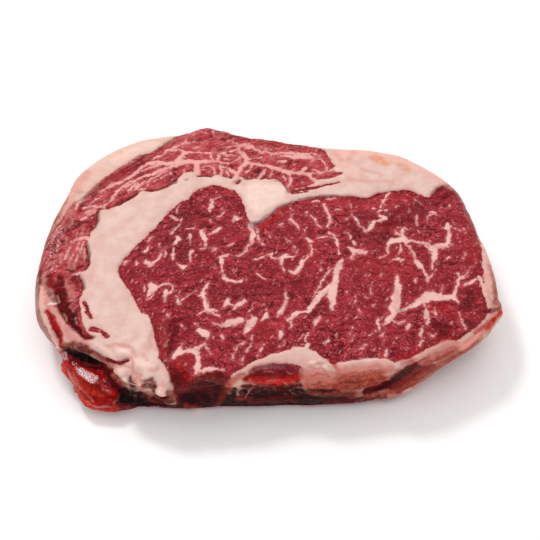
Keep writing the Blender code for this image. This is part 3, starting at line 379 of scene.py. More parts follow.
# Colour laid on in this order: its name, strength and softness, then x, y and half width
# The blush lines are the creases between the fat lumps: their own pinkish brown, with painted shade
# The darkest strokes, in the hollows by the flap and under the front overhangs, are painted shade, with the
# mesh pressed in there
# The thin rose lines on the flap, on the fold near x -35 and on the front around the oval are painted
# highlights; the thin wine and maroon lines along x -32 are painted shade in the crease beside that fold
# The whitest stroke, on the left rim, is a painted highlight
PAINT = """
peach .8 2.5: -69 24 3, -64 35 4, -56 44 4, -47 49 3, -39 53 2.5
cream .75 2: 2 22 2.5, 4 26 1.5, -4 25 4, -6 18 1.5 | -4 16 1.5, 1 21 2
rose .5 2: -71 16 1.5, -70.5 24 1.5, -66 34 1.2
cream .4 2: -55 40 2, -49 45 2, -43 48.5 1.5
amber .35 .8: -54.8 46 .3, -54.4 45 .5
lilac .4 .7: -67.4 25 .5, -66.8 25.4 .4
salmon .75 2.2: 25 46 1.6, 27 45 2, 31 45 2, 36 45 1.2, 43 43 1, 50 40 1.2, 56 36.4 1, 61 31.5 1
salmon .55 2: 25.6 41 1.2, 27.6 37.6 1.2, 30 34 1
rose .35 1.2: 24 44 .8, 26 41 .6 | 30.6 44.6 .8, 28.6 41 .5 | 33 36 .4, 40 33.4 .3 | 28 31.4 .4, 36 30 .5,
44 30 .4
amber .75 1.3: 36.8 42 .7, 38.6 40.8 1, 40.6 40.6 .9, 42.6 39.2 .8 | 38.4 43 .4, 40 41.8 .6 | 41 39 .4,
42 38.2 .4
amber .6 1.2: 46.4 38.4 .8, 48 37 1, 49.6 35.4 .7 | 49 38 .3, 50.4 36.6 .3
pink .5 1.5: 58 33 1, 61.4 29.6 .8 | 62.6 29 .6, 64.4 27 .5
plum .6 .8: 57.4 23.4 .6, 59.4 26.4 .7, 61.4 27.6 .7
wine .4 .9: -32.6 -33.6 .4, -31.8 -38 .5, -31.8 -43 .5, -32.6 -47.6 .3
maroon .35 .5: -33 -34 .12, -32 -38 .2, -32 -43 .2, -32.8 -47 .15
wine .5 1: -37.6 -34 .6, -36.6 -39 .6, -35.4 -44 .6
plum .5 .6: -35.4 -33.6 .4, -34.4 -38 .4, -34 -42.6 .3
rose .6 .35: -34.8 -35.6 .08, -34 -38.4 .12 | -33.4 -40.6 .1, -33.8 -43.4 .12 | -35.6 -45 .08,
-35.4 -46.2 .08
red .5 1.4: -3.4 7.4 .4, -1.6 9.6 .6, 1 12.4 .8, 4 15.6 .8, 6 17.6 .6
red .4 1.2: -12.6 29.6 1, -11 30.4 .6 | 15.9 41.9 .5, 16.4 41.6 .4
wine .5 1: -65.4 22.6 .4, -61.4 27.4 .8, -56.4 32 1.2, -52 36 1.4, -47.6 39.8 1.4, -44 41.6 1
wine .3 1.4: -40 46.6 .8, -37 50 1, -33 52 1
scarlet .35 1.5: -26 57.6 .6, -22 57.4 .6 | -15 53 .6, -10 52.6 .8, -4 51.2 .8, 3 49.8 .8, 10 48.8 1,
16 46.6 1
plum .35 1.2: -14 51.6 .8, -10.6 51.4 .8
clay .8 1: -71.8 22 .5, -74 13 .6, -76 7 .6, -77.6 0 .6, -78.4 -8 .6, -78.2 -14 .6
rust .6 .8: -74.2 13 .4, -76.6 6 .3, -78.2 -1 .3, -79 -8 .3
rose .6 .5: -70.8 17 .3, -72 12 .3, -73.8 7 .3, -75.4 1 .25 | -69.6 15 .2, -70.6 10 .25, -71.8 5 .2
wine .3 1: -72 8 .4, -73.6 2 .6, -74.6 -4 .6 | -70.4 12 .5, -71.4 6 .5
rose .7 .6: -69.4 -2 .3, -68.6 -6 .4, -67.8 -10 .3 | -65 8 .3, -65.6 5 .3 | -64 -2 .2, -63.6 -6 .3 |
-69 12 .3, -69.6 8 .3 | -67 -8 .2, -66.2 -10.6 .3 | -71.6 -4 .2, -71 -8 .2 | -70.6 4 .2, -70 0 .25 |
-67 6 .2, -66.6 2 .2 | -72.4 1 .3, -72.8 -3 .3
wine .8 .9: -77.8 -11 .5, -77.2 -16 .6, -76.8 -21 .5
rose .8 .9: -75.8 -14 .8, -75 -20 .9, -73.8 -25 .9, -72.6 -28.6 .7
grey .9 .8: -78.4 -15 .6, -78 -21 1.1, -77.6 -27 1.4, -76 -32 1.2, -74 -35.4 .8, -71.4 -39 .7,
-69.4 -43 .6
rust .6 .6: -77.6 -29 .4, -76.4 -33 .5, -74.6 -36 .5
pink .9 .5: -76.4 -18 .3, -75.7 -25 .35, -74.2 -30.4 .35, -72.2 -35 .3, -70.2 -39 .3, -68.4 -43.4 .25
rose .75 1: -71.4 -27.8 1, -69 -31.4 1, -66.8 -35 1.2, -65 -38.6 1.2, -62.6 -41 1, -58.6 -42.4 .8
wine .7 .9: -74.4 -14 .8, -73.4 -18 1.4, -72 -22 1.5, -70 -26 1.4
red .6 .6: -73.6 -14.6 .3, -72.8 -18 .4 | -71.8 -18.6 .3, -71 -22 .4 | -69.4 -16 .3, -68.6 -20 .3 |
-68.8 -24 .3, -67.2 -28 .3
wine .9 1: -70.4 -14 1, -70 -18 1.2, -69.6 -23 1.4, -68 -27.6 1.8, -66 -31 1.8, -64.2 -34 1.3,
-62.4 -37 1, -60 -39.4 .8, -57.4 -39.8 .5
maroon .8 .7: -71.6 -17 .5, -70.6 -21 .6, -69.4 -25.6 .6 | -68.6 -19.6 .4, -67.6 -23 .5 | -67.6 -26.4 .6,
-66.4 -30 .7, -64.6 -33.4 .5 | -64.4 -29.4 .5, -63.4 -32.6 .4 | -63.6 -35.4 .4, -61.6 -38.2 .4
umber .6 .5: -69 -27.6 .3, -67.6 -31 .35 | -66 -28 .25, -65 -31 .3 | -65.4 -33 .25, -64 -35.6 .25
wine .7 .8: -66 -15 .8, -64.6 -17 .8, -63 -18.4 .5
rose .55 .8: -67.6 -17.6 .6, -66.4 -21 .8, -65.2 -23.6 .8 | -68.6 -15 .3, -68.2 -17.6 .3
wine .7 .5: -72.6 -16 .3, -71.4 -19.4 .3 | -66.6 -27 .3, -65.6 -29.4 .3 | -67.4 -32 .3, -65.8 -34 .3 |
-62.4 -37.8 .25, -60.6 -39 .25
pink .6 .4: -68 -29.6 .12, -66.4 -32.6 .12 | -66.4 -26.4 .12, -64.8 -29 .12 | -70.8 -22.4 .12,
-70 -25 .12 | -64 -31.4 .12, -63.2 -34 .12 | -64.6 -35.6 .12, -63.4 -37.4 .12
red .95 .6: -73.2 -29 .5, -71.5 -31.8 .9, -70 -34.8 1, -68.6 -38 .9, -67.4 -41 .8, -66.6 -43.6 .5
wine .7 .5: -72.2 -32 .3, -70.6 -36 .35, -69 -39.8 .35, -67.8 -42.6 .3
pink .8 .4: -72.6 -32.6 .12, -71 -36 .15, -69.4 -39.6 .15, -68.2 -42.4 .12
white .8 .5: -73 -25.6 .2, -71.8 -25.9 .3, -71 -25.2 .15
brown .9 1.1: -66.2 -43 .9, -63.6 -42.8 1.1, -60.6 -43.6 1.1, -57.6 -45 .8
rust .5 .6: -65.6 -42.4 .3, -62.8 -42 .3 | -59.8 -43.4 .3, -57.4 -44.6 .3
umber .9 1.1: -65.4 -45.2 .9, -62.8 -46.2 1.3, -59.6 -47.6 1.5, -56.4 -49.2 1.2, -53.6 -50.2 .5
wine .7 1: -57.4 -45.4 .5, -55 -46.8 .6, -52.6 -48.4 .5, -50.4 -49.6 .3
black .8 1.2: -62.4 -46.8 .3, -60.4 -47.8 .6, -58 -48.9 .7, -56.2 -49.8 .4
maroon .95 .9: -66.4 -46.8 .5, -63.4 -49.2 .6, -60.4 -51 .7, -57 -52 .8, -53.8 -51.8 .6
wine .95 1: -52.6 -51.4 1.2, -50.4 -54 1.6, -48.6 -57 1.6, -46.8 -60 1.3
maroon .7 .7: -53 -52 .5, -50.6 -56 .6, -48.6 -60 .6 | -49.6 -51 .4, -47.4 -55.4 .5
red .98 .9: -67.2 -46.6 .7, -64.4 -49.8 1.4, -60.6 -53 1.8, -56.8 -54.6 2, -53.4 -56 1.6
red .98 1: -66.4 -49 1, -65 -52 2, -62.2 -56 3, -58.4 -60 3.4, -54.4 -62.6 3.4, -50.6 -63 2.8
wine .4 .6: -64.8 -48.6 .4, -62 -53 .5, -58.6 -57.6 .6, -54.6 -60.6 .6, -51 -61.6 .5 | -56 -63.6 .4,
-52.4 -65.4 .5, -49 -64.4 .5 | -62 -50.8 .5, -57.6 -55.4 .5, -54 -58.6 .5 | -60.6 -59 .3, -57.6 -62.4 .4 |
-53.4 -54.6 .4, -50.6 -59 .5
maroon .6 .5: -61 -52.6 .25, -57 -57.4 .3, -53.4 -60 .3 | -58.6 -61.6 .2, -55.4 -64 .25 | -51.4 -62.6 .4,
-48.6 -63 .4
scarlet .35 1.5: -65 -52.6 .8, -61 -56.4 1.4, -57 -60 1.8, -53 -61.4 1.4
scarlet .9 .9: -68.4 -45.6 .4, -67.2 -49.4 .5, -65.4 -53.6 .6, -62.4 -58.4 .8, -59.4 -62.6 .9,
-57.2 -65.8 .9, -54.6 -68 .8, -51 -68.2 .6, -48.6 -67 .5
scarlet .7 .8: -63 -51.4 .4, -60 -54.6 .5, -56.6 -56.6 .5 | -60.4 -57 .3, -56.6 -61 .4, -52.4 -62.6 .3 |
-63.6 -54 .2, -60.4 -58.6 .25
rose .6 .35: -64.4 -52.6 .15, -62.2 -56.4 .2, -59.6 -60 .15 | -57.4 -53.8 .2, -55 -56 .25 | -53 -59.4 .2,
-50.4 -61.4 .2 | -57.6 -64.6 .15, -54.4 -66.8 .15, -50.4 -66.4 .15 | -48.8 -65 .2, -47.8 -63 .2 |
-62.7 -53.2 .1, -59 -60.4 .12, -55.4 -64.6 .12
blush .7 .8: -52.6 -43.4 .3, -50 -42.8 .35, -47.4 -43 .35, -45 -44.2 .35, -43.4 -46 .35, -42.6 -48.6 .3
lump .75 1.4: -48.6 -45.6 .8, -45.8 -46.2 .7
lump .7 1.6: -42.2 -50 1.6, -39.4 -51.4 1.6, -37 -50.4 1
lump .6 1.2: -52.6 -45.8 .4, -51 -46.6 .5 | -55.6 -43.4 .5, -53.6 -44.4 .5
blush .8 .8: -44.6 -47.8 .3, -43.8 -50 .35, -44 -52.4 .4, -43 -54.4 .35, -41 -54.6 .3
blush .55 .8: -40.6 -46.6 .3, -39.4 -49 .3 | -38.4 -53 .3, -36.6 -53.6 .3, -35.6 -52 .3 | -38.4 -38 .25,
-38.6 -42 .25, -37 -45 .25
wine .8 .6: -52.4 -48.2 .35, -50 -49.6 .5, -47.4 -49.6 .5, -45.6 -48.6 .3
blush .7 .7: -49.6 -51.6 .4, -47 -50.8 .4, -45 -51.6 .3
lump .7 .9: -48.4 -52.8 .6, -46.8 -53.6 .7 | -46 -55.4 .6, -45.6 -56.4 .5
clay .7 .8: -49.6 -54.4 .5, -48 -56.6 .7, -46 -58.2 .7
maroon .85 .8: -44.4 -55.4 .5, -43.8 -58 .7, -43 -60 .6 | -47 -59.6 .5, -45 -60.4 .6
clay .85 .7: -41.8 -56 .7, -41 -58 .9, -40.6 -59.4 .6
lump .6 .6: -41.8 -56 .4, -41 -57.6 .4
wine .8 .8: -39.6 -56.4 .5, -37.4 -56 .7, -36.6 -57.6 .5
maroon .85 .8: -39 -58.4 .9, -37 -59 .8
umber .95 1: -46.6 -60.6 1, -43.6 -62.4 1.8, -40.6 -63 2
black .9 1.2: -46.4 -64 1.6, -42 -65.4 1.4, -36 -66.8 .6, -28 -67 .5
brown .8 1.2: -38.6 -62.4 1, -35.4 -64.2 1, -31.4 -63.4 1.2, -30 -61 1
umber .6 .6: -37 -63.6 .3, -33 -65 .3, -30 -64.6 .3
maroon .8 .7: -36 -59 .5, -36.4 -61.4 .5, -35 -63.4 .5, -32.6 -63 .5, -32 -60.6 .4
pink 1 .5: -34 -57 .4, -34.1 -58.8 1, -34.3 -60.4 1.4, -34.1 -61.4 1
cream .7 .5: -34.5 -59 .3, -34.7 -60.4 .4
pink .8 .6: -34.4 -50.8 .4, -33.2 -53.4 .5, -31.8 -56.4 .35, -31.2 -58.6 .2
wine .85 1.4: -31 -52 1, -29 -54.6 2.2, -27.6 -58 2.2, -28 -61.4 1.6
maroon .7 1: -30.4 -57 .8, -28.6 -61 .9, -27.4 -64.6 .9
red .5 1: -29.4 -50.6 .8, -27 -53.4 .8, -25.6 -56 .5
rust .5 .5: -30.4 -61 .15, -28.4 -64 .2, -26 -65.8 .2
umber .98 1.2: -26.4 -63.6 1.8, -20 -63.6 3.2, -15.4 -63.6 2.2
maroon .9 1.1: -23.4 -59 1.6, -19.4 -59.6 2.2, -16.4 -59.8 1.6
wine .85 1: -20 -54 .7, -16 -54.4 .9, -13.6 -55.8 .8
brown .8 .7: -25.4 -61.4 .3, -25.3 -58.4 .4, -24 -56 .5, -21 -55.3 .5, -17.4 -56 .5, -15 -57.6 .4
umber .8 .8: -21.4 -58.2 1, -18.4 -58.2 1, -16.6 -59.6 .7
maroon .8 .6: -23 -62 .2, -21 -65 .3 | -18.6 -61 .25, -18 -65 .3
brown .85 .9: -13.4 -59.6 .8, -14.6 -62 .9, -15.6 -64.6 .8, -16.2 -66.4 .6
umber .9 .8: -11.4 -60.4 .8, -12.4 -64 .9, -12.8 -66.4 .6
clay .85 .8: -13.2 -58.2 .7, -12.2 -56.6 .9, -10.4 -54.9 .8, -8.6 -53.6 .5
rust .5 .6: -13.6 -57.4 .3, -12.4 -58.8 .4, -13.4 -60.6 .4
umber .95 1.2: -8.6 -61.4 1.2, -4 -61.8 2, 2 -62 2.2, 9 -62 2, 14 -63.6 1, 22 -64 .6
maroon .9 1: -8.4 -58.8 .7, -3 -59.2 1, 3 -59.4 1, 9 -58.4 1
wine .95 1: -8.2 -56 .7, -5 -53.6 1, -1 -52.8 1.4, 4 -52.8 1.6, 7.6 -53.8 1.6, 8.6 -56 1
plum .9 1.2: -6 -53 .5, -2.4 -51.8 .9, 1.6 -51.6 1.1, 5 -51.8 1.1, 8.2 -53 .7
red .85 1.3: -6.4 -56 .6, -2 -56.6 1, 2.6 -56.9 1.2, 6.4 -56.2 1.2, 8.8 -54.8 .8
lilac .5 .8: -3.6 -52 .3, 0 -51.4 .4, 4 -51.6 .4
maroon .6 .5: -6.6 -54.8 .2, -2 -54.6 .25, 3 -54.8 .25, 7 -54.4 .2 | -4 -57.6 .2, 2 -58.2 .2
rose .7 .3: -5.4 -58.8 .08, -6.6 -61 .12, -7.8 -63.4 .08 | 3.8 -56.8 .08, 5.6 -58.6 .1 | -1.4 -53.4 .06,
1.4 -53.2 .08 | 5 -53.4 .06, 6.8 -53.9 .08
brown .55 .8: -9.4 -62.4 .4, -7.4 -64.6 .5 | 0 -63.6 .3, 6 -63.2 .4, 9 -62.4 .4
umber .95 1: -14 -66.6 1.4, -6 -66.4 1.6, 4 -66.2 1.6, 12 -65.8 1.4, 18 -65.4 1
brown .6 .7: -6 -65 .3, 2 -64.8 .4, 8 -64.6 .3 | 12 -63.6 .3, 18 -63.8 .3
maroon .9 1: 18 -65 1.2, 24 -64.4 1.2, 30 -63.8 .9, 36 -62.6 .5
rose .25 1.6: -10 -54.4 .8, -5 -51.2 1, 1 -49 1.2, 8 -47.8 1.6, 14 -49.6 1.2
rose .8 1.2: 10.4 -52.6 .8, 14 -53.2 1, 18 -53.8 1
clay .85 1.2: 11 -55.6 1.2, 15.6 -56 1.2, 20 -56 1
rust .6 1.6: 22 -55 1.4, 28 -54.4 1.6, 34 -53.6 1.4
rust .85 1.2: 12 -58.6 1.2, 17 -59 1.2, 22 -58.8 1.2
brown .85 1.4: 13 -61.4 .8, 19 -61.8 1.2, 26 -61.8 1.2
blush .7 .6: 12.6 -51 .3, 14.6 -52.6 .4, 16.4 -51.6 .3, 17.8 -52.6 .3 | 15 -49.8 .25, 17 -50.6 .3
lump .8 .6: 17.4 -51.2 .35, 18.4 -51.6 .3 | 12.4 -50 .4, 14.4 -49.6 .4
rust .6 .5: 13.4 -54.4 .2, 15.6 -53.6 .2, 18.6 -54.4 .2 | 15 -56.8 .2, 18.6 -57.4 .2
scarlet .75 .9: 20.6 -50.6 .5, 21.4 -51.6 .6, 22.4 -52.6 .3
umber .8 .7: 8 -63.4 .6, 16 -63.6 .5, 24 -63.4 .4 | 12 -60.2 .2, 17 -60.4 .3, 21 -60 .2
rust .9 1.3: 21 -58.4 1.2, 27 -58 1.5, 32 -57 1.3, 36 -55.6 .8
clay .7 1.6: 22 -54 1.2, 28 -53.4 1.4, 34 -52.8 1.3, 38 -52.2 .9
rose .85 1.4: 22.4 -52.2 .6, 28 -51.2 .8, 34 -50.8 .9, 38.6 -51.2 .6
rust .5 1.4: 23 -56 1.2, 29 -55.4 1.4, 35 -54 1.2
pink .85 1: 22.4 -50.8 .5, 25 -50 .6, 30 -49.2 .8, 35 -48.9 .7, 38.6 -50 .4
cream .5 .6: 24 -49.6 .25, 30 -48.6 .35, 35 -48.2 .3
rust .4 .4: 24 -56 .15, 30 -55.6 .15, 35 -54 .15 | 25 -53.2 .12, 31 -52.6 .12, 36 -52 .1 | 23 -54.8 .12,
28 -54.4 .12
brown .6 .5: 22 -57.4 .2, 28 -56.8 .2, 33.6 -55.4 .2 | 24 -59.8 .25, 30 -59.2 .25, 34 -57.6 .2
wine .6 1.6: 27 -62 .6, 32 -60.8 1, 37 -58 1.6, 41 -55 2, 45 -52 1.6, 48 -50 .8
maroon .85 1.1: 30 -61.4 .5, 34 -60 .7, 38 -57.2 1, 41.6 -54.4 1.3, 45 -51.8 1, 47.6 -50 .6
umber .7 .8: 34 -60.2 .2, 38 -57.8 .4, 41.6 -55 .5, 44.4 -52.8 .4
wine .7 .7: 38 -60.2 .5, 42.6 -57.4 .7, 46.6 -53.8 .7, 49.6 -50.8 .5
rust .85 .8: 30 -62.8 .3, 36 -61.6 .4, 41 -60 .5, 45 -57 .6, 49 -53.4 .6
brown .5 .5: 40 -60.8 .2, 45 -58 .25, 50 -53.6 .25
clay .9 1.1: 48.4 -49.6 .6, 52 -47.6 1.4, 56 -45.4 1.6, 59.4 -43.8 1
rust .7 .8: 50 -49.8 .3, 54 -47.6 .5, 58.4 -45.2 .4, 61.4 -43.4 .3
brown .5 .6: 51.6 -48.8 .2, 55 -46.8 .3, 58.8 -44.8 .2
rose .9 .8: 45 -49 .3, 49 -46.8 .5, 53 -44 .7, 56.6 -42 .8, 59.6 -41.4 .6, 61.6 -42.2 .3
pink .7 .5: 47 -47.6 .2, 51.4 -45 .25, 55.4 -42.4 .3, 58.8 -41 .25
rust .85 .9: 44.6 -58.4 .4, 50 -54 .6, 56 -49.8 .7, 62 -45.4 .7, 67 -41 .6
wine .5 .6: 52 -51 .2, 57 -47.6 .25, 62 -44.4 .2
rose .85 .9: 61.4 -44 .5, 64 -41.4 .7, 66.6 -39.2 .7, 69 -36.8 .5
red .75 .8: 66.4 -37.4 .4, 69.4 -35.2 .6, 72.6 -32.2 .7, 75.6 -29 .6
rose .7 .4: 65.6 -37 .2, 68.4 -34.8 .2, 71.4 -31.8 .2, 74.6 -29 .2
scarlet .8 .6: 70.6 -36 .4, 74 -31.6 .5, 77 -27.8 .5
wine .9 .6: 71 -28.8 .4, 73 -28.4 .3
red .55 1.2: 41 -48 .6, 45 -46.4 .6, 48.6 -44.6 .4 | 42.4 -50 .5, 45.6 -48.6 .5
maroon .6 1.4: 54 -34 1.2, 57.6 -36 1.4, 56 -38.4 1 | 66 -19.6 .8, 66.6 -24 1.4, 65.4 -27 1.2 |
66.6 -34.6 .8, 64.6 -33 .5
red .35 2: 54 -26.6 1, 58 -27.6 1.4, 60.4 -30 1 | 55 -41 .8, 60 -38.6 1
rose .6 .6: 72.4 -13 .3, 72.6 -18 .3, 72.6 -23 .3, 73 -27 .3
clay .9 1: 72.4 12 .5, 73.8 5 .9, 74.8 -4 1.2, 75.4 -12 1.3, 75.6 -20 1.2, 75.2 -26.6 .7
rust .7 .9: 75 2 .4, 76 -6 .6, 76.8 -13 .5, 76.8 -21 .5, 76 -26 .4
rose .6 .7: 73.4 4 .3, 74 -4 .4, 74.2 -12 .5, 74.4 -20 .4
clay .6 1: 74 -12 .6, 74.4 -18 .7, 74.6 -22.6 .6, 73.8 -26 .3
rust .5 .7: 75.2 -16 .3, 75.2 -21 .4, 74.4 -25 .3
rust .55 1.2: 75.6 6 .6, 76.4 -2 1, 76.8 -10 1.2, 77 -18 1.2, 76.4 -25 .8
pink .8 .6: 73 -12 .5, 73.2 -16 .5, 73.2 -20 .4 | 72.4 5 .3, 73.4 -2 .5, 73.8 -8 .5
rose .5 .7: 67.4 24 .4, 69.4 18 .4, 71.4 12 .4, 73 5 .4
"""

# Colours as they look on a screen, 0 to 255
MEAT_DARK = (140, 26, 38)
MEAT = (177, 49, 60)
PALE_MEAT_AND_HIGHLIGHT = (212, 96, 103)
CAP_DARK = (134, 18, 30)
CAP = (188, 58, 66)
CAP_PALE = (216, 103, 105)
CREASE_SHADE = (78, 2, 12)
FLECK_AND_SHINE = (226, 152, 147)
FAT_WHITE = (224, 192, 182)
FAT_CREAM = (216, 174, 163)
FAT_PINK = (218, 144, 132)
VEIN_FAT = (232, 190, 180)
SILVERSKIN = (140, 104, 104)
RED = (196, 54, 52)
OLD_LEAN = (86, 18, 20)
PAINTED_GAP_SHADE = (72, 4, 10)
SHADED_SIDE_LEAN = (96, 20, 18)
SIDE_MEAT = (158, 52, 50)
SIDE_FAT = (186, 112, 98)
SIDE_PALE = (222, 170, 154)
SIDE_RED = (160, 60, 52)
GLINT_WHITE = (240, 222, 220)


def linear(colour):
    """A screen colour as Blender's linear red, green, blue and alpha."""
    parts = [c / 255 for c in colour]
    return [c / 12.92 if c <= 0.04045 else ((c + 0.055) / 1.055) ** 2.4 for c in parts] + [1.0]


def smoothstep(low, high, value):
    t = np.clip((value - low) / (high - low), 0, 1)
    return t * t * (3 - 2 * t)


def segment_distance(points, rows_a, rows_b, width_a, width_b):
    """Distance to a segment less the half width there, in millimetres."""
    a, b = np.asarray(rows_a, float), np.asarray(rows_b, float)
    line = b - a
    t = np.clip(((points - a) @ line) / max(line @ line, 1e-9), 0, 1)
    away = np.hypot(points[:, 0] - a[0] - t * line[0], points[:, 1] - a[1] - t * line[1])
    return away - (width_a + (width_b - width_a) * t)


def table_lines(text):
    """A table's lines, where one that ends in a comma or a bar goes on in the next."""
    return text.strip().replace(",\n", ", ").replace("|\n", "| ").splitlines()


def strands(text):
    """The rows of a table of strands, each a list of points and their half widths if given."""
    rows = [part for line in table_lines(text) for part in line.split("|")]
    return [[tuple(float(v) for v in point.split()) for point in row.split(",")] for row in rows]


def headed(text):
    """The rows of a table whose lines start with a head: the head's values, and the points."""
    parts = [line.split(":") for line in table_lines(text)]
    return [([word if word.isalpha() else float(word) for word in head.split()], row)
            for head, rows in parts for row in strands(rows)]


def strand_depth(points, rows, reach=4):
    """Depth inside the nearest strand, less than zero outside them."""
    out = np.full(len(points), -4.0)
    for row in rows:
        some = near(points, [p[:2] for p in row], reach)
        for a, b in zip(row, row[1:]):
            out[some] = np.maximum(out[some], -segment_distance(points[some], a[:2], b[:2], a[2], b[2]))
    return out


def near(points, stroke, reach):
    """Indices of the points that lie within reach of a stroke's box."""
    path = np.array(stroke, float)
    low, high = path.min(axis=0) - reach, path.max(axis=0) + reach
    inside = np.all((points > low) & (points < high), axis=1)
    return np.flatnonzero(inside)


def stroke_distance(points, start, end, path):
    """Distance outside a stroke of tapering half width, less than zero in it."""
    steps = [math.dist(a, b) for a, b in zip(path, path[1:])]
    whole = sum(steps) or 1.0
    best, run = np.full(len(points), 1e3), 0.0
    for a, b, step in zip(path, path[1:], steps):
        w0 = start + (end - start) * run / whole
        run += step
        w1 = start + (end - start) * run / whole
        best = np.minimum(best, segment_distance(points, a, b, w0, w1))
    return best


def polygon_depth(points, outline):
    """Distance inside an outline, less than zero outside it."""
    ring = list(outline) + [outline[0]]
    inside = np.zeros(len(points), bool)
    best = np.full(len(points), 1e3)
    for a, b in zip(ring, ring[1:]):
        best = np.minimum(best, segment_distance(points, a, b, 0, 0))
        if a[1] != b[1]:
            crosses = (points[:, 1] < a[1]) != (points[:, 1] < b[1])
            x_there = a[0] + (points[:, 1] - a[1]) * (b[0] - a[0]) / (b[1] - a[1])
            inside ^= crosses & (points[:, 0] < x_there)
    return np.where(inside, best, -best)


def spots(points, text):
    """The strongest of some soft strokes at each point, 0 to 1."""
    out = np.zeros(len(points))
    for (strength, start, end, soft), path in headed(text):
        some = near(points, path, max(start, end) + soft)
        away = stroke_distance(points[some], start, end, path)
        out[some] = np.maximum(out[some], strength * smoothstep(soft, -0.3 * soft, away))
    return out


def unevenness(points, size, seed):
    """Slow noise between about -1 and 1 at points in millimetres."""
    shift = Vector((seed * 3.1, seed * 7.7, seed * 1.3))
    return np.array([noise.noise(Vector(p) / size + shift) for p in points])


def drift(points, size, seed):
    """Slow noise in X and in Y."""
    return np.stack([unevenness(points, size, seed), unevenness(points, size, seed + 1)], axis=1)


def evaluated(obj):
    """The object's mesh with its modifiers applied, in a new mesh."""
    graph = bpy.context.evaluated_depsgraph_get()
    return bpy.data.meshes.new_from_object(obj.evaluated_get(graph))


def positions(mesh):
    flat = np.empty(len(mesh.vertices) * 3)
    mesh.vertices.foreach_get("co", flat)
    return flat.reshape(-1, 3)


def normals(mesh):
    flat = np.empty(len(mesh.vertices) * 3)
    mesh.vertex_normals.foreach_get("vector", flat)
    return flat.reshape(-1, 3)


def edges_of(mesh):
    flat = np.empty(len(mesh.edges) * 2, int)
    mesh.edges.foreach_get("vertices", flat)
    return flat.reshape(-1, 2)


def move_to(mesh, points):
    mesh.vertices.foreach_set("co", points.ravel())
    mesh.update()


def smoothed(points, edges, turns, shares):
    """Points drawn towards their neighbours' middle, by each share in turn."""
    count = np.bincount(edges.ravel(), minlength=len(points))[:, None]
    for _ in range(turns):
        for share in shares:
            total = np.zeros_like(points)
            for axis in range(points.shape[1]):
                total[:, axis] = (np.bincount(edges[:, 0], points[edges[:, 1], axis], len(points))
                                  + np.bincount(edges[:, 1], points[edges[:, 0], axis], len(points)))
            points = points + share * (total / count - points)
    return points


def fine_mesh(node):
    """The CAD solid as an even fine skin, finest on its top face."""
    coarse = bpy.data.objects.new("coarse_meat", node.data.copy())
    bpy.context.scene.collection.objects.link(coarse)
    remesh = coarse.modifiers.new("even", "REMESH")
    remesh.mode = "VOXEL"
    remesh.voxel_size = FACE_SIZE * MM
    mesh = evaluated(coarse)
    bpy.data.objects.remove(coarse)
    move_to(mesh, smoothed(positions(mesh), edges_of(mesh), SMOOTHING_TURNS, (0.5, -0.53)))
    work = bmesh.new()
    work.from_mesh(mesh)
    up = [f for f in work.faces if f.normal.z > TOP_TURN]
    front = [f for f in work.faces if f.normal.z <= TOP_TURN and f.normal.y < FRONT_TURN
             and f.calc_center_median().z > FRONT_FOOT * MM]
    chosen = {e for f in up + front for e in f.edges}
    bmesh.ops.subdivide_edges(work, edges=list(chosen), cuts=1, use_grid_fill=True)
    work.to_mesh(mesh)
    work.free()
    move_to(mesh, smoothed(positions(mesh), edges_of(mesh), 2, (0.5, -0.53)))
    return mesh


def shift_outline(mesh):
    """Moves the skin a little where the outline differs from the solid's."""
    points = positions(mesh)
    for middle, reach, shift in SHIFTS:
        away = np.hypot(*(points[:, :2] / MM - READING_ORIGIN[:2] - middle).T)
        points[:, :2] += smoothstep(reach, 0, away)[:, None] * np.array(shift) * MM
    move_to(mesh, points)


def seen_places(points, facing_up):
    """Where each point shows on the top plane, and how far it faces the viewpoint."""
    reading = points - READING_ORIGIN
    eye = np.array([0, -VIEW_DISTANCE / MM * math.cos(VIEW_ELEVATION),
                    AIM_HEIGHT + VIEW_DISTANCE / MM * math.sin(VIEW_ELEVATION)])
    ray = reading - eye
    t = (TOP_PLANE - eye[2]) / ray[:, 2]
    seen = eye[:2] + ray[:, :2] * t[:, None]
    towards = -ray / np.linalg.norm(ray, axis=1)[:, None]
    faces = np.sum(towards * facing_up, axis=1)
    weight = smoothstep(-0.12, 0.06, faces)[:, None]
    down = reading[:, :2] - np.array([0, 1.0])
    return seen * weight + down * (1 - weight), weight[:, 0]


def painted(place, shown, out):
    """The laid-over colours, how far they cover, and the low relief that goes with them."""
    colour, cover = np.zeros((len(place), 3)), np.zeros(len(place))
    relief = np.zeros(len(place))
    for (name, strength, soft), row in headed(PAINT):
        reach = max(p[2] for p in row) + soft
        some = near(place, [p[:2] for p in row], reach)
        some = some[shown[some]]
        share = strength * smoothstep(-soft, 0.4 * soft, strand_depth(place[some], [row], reach))
        colour[some] += share[:, None] * (np.array(linear(PALETTE[name])[:3]) - colour[some])
        cover[some] += share * (1 - cover[some])
        relief[some] += share * (PRESS.get(name, 0.0) - relief[some])
    upright = 1 - smoothstep(-0.1, 0.85, out[:, 2])
    haze, light = 0.008 + 0.014 * upright, 1.06 - 0.3 * upright
    look = colour / np.maximum(cover, 0.001)[:, None]
    return np.clip((look - haze[:, None]) / light[:, None], 0.0008, 0.9), cover, relief


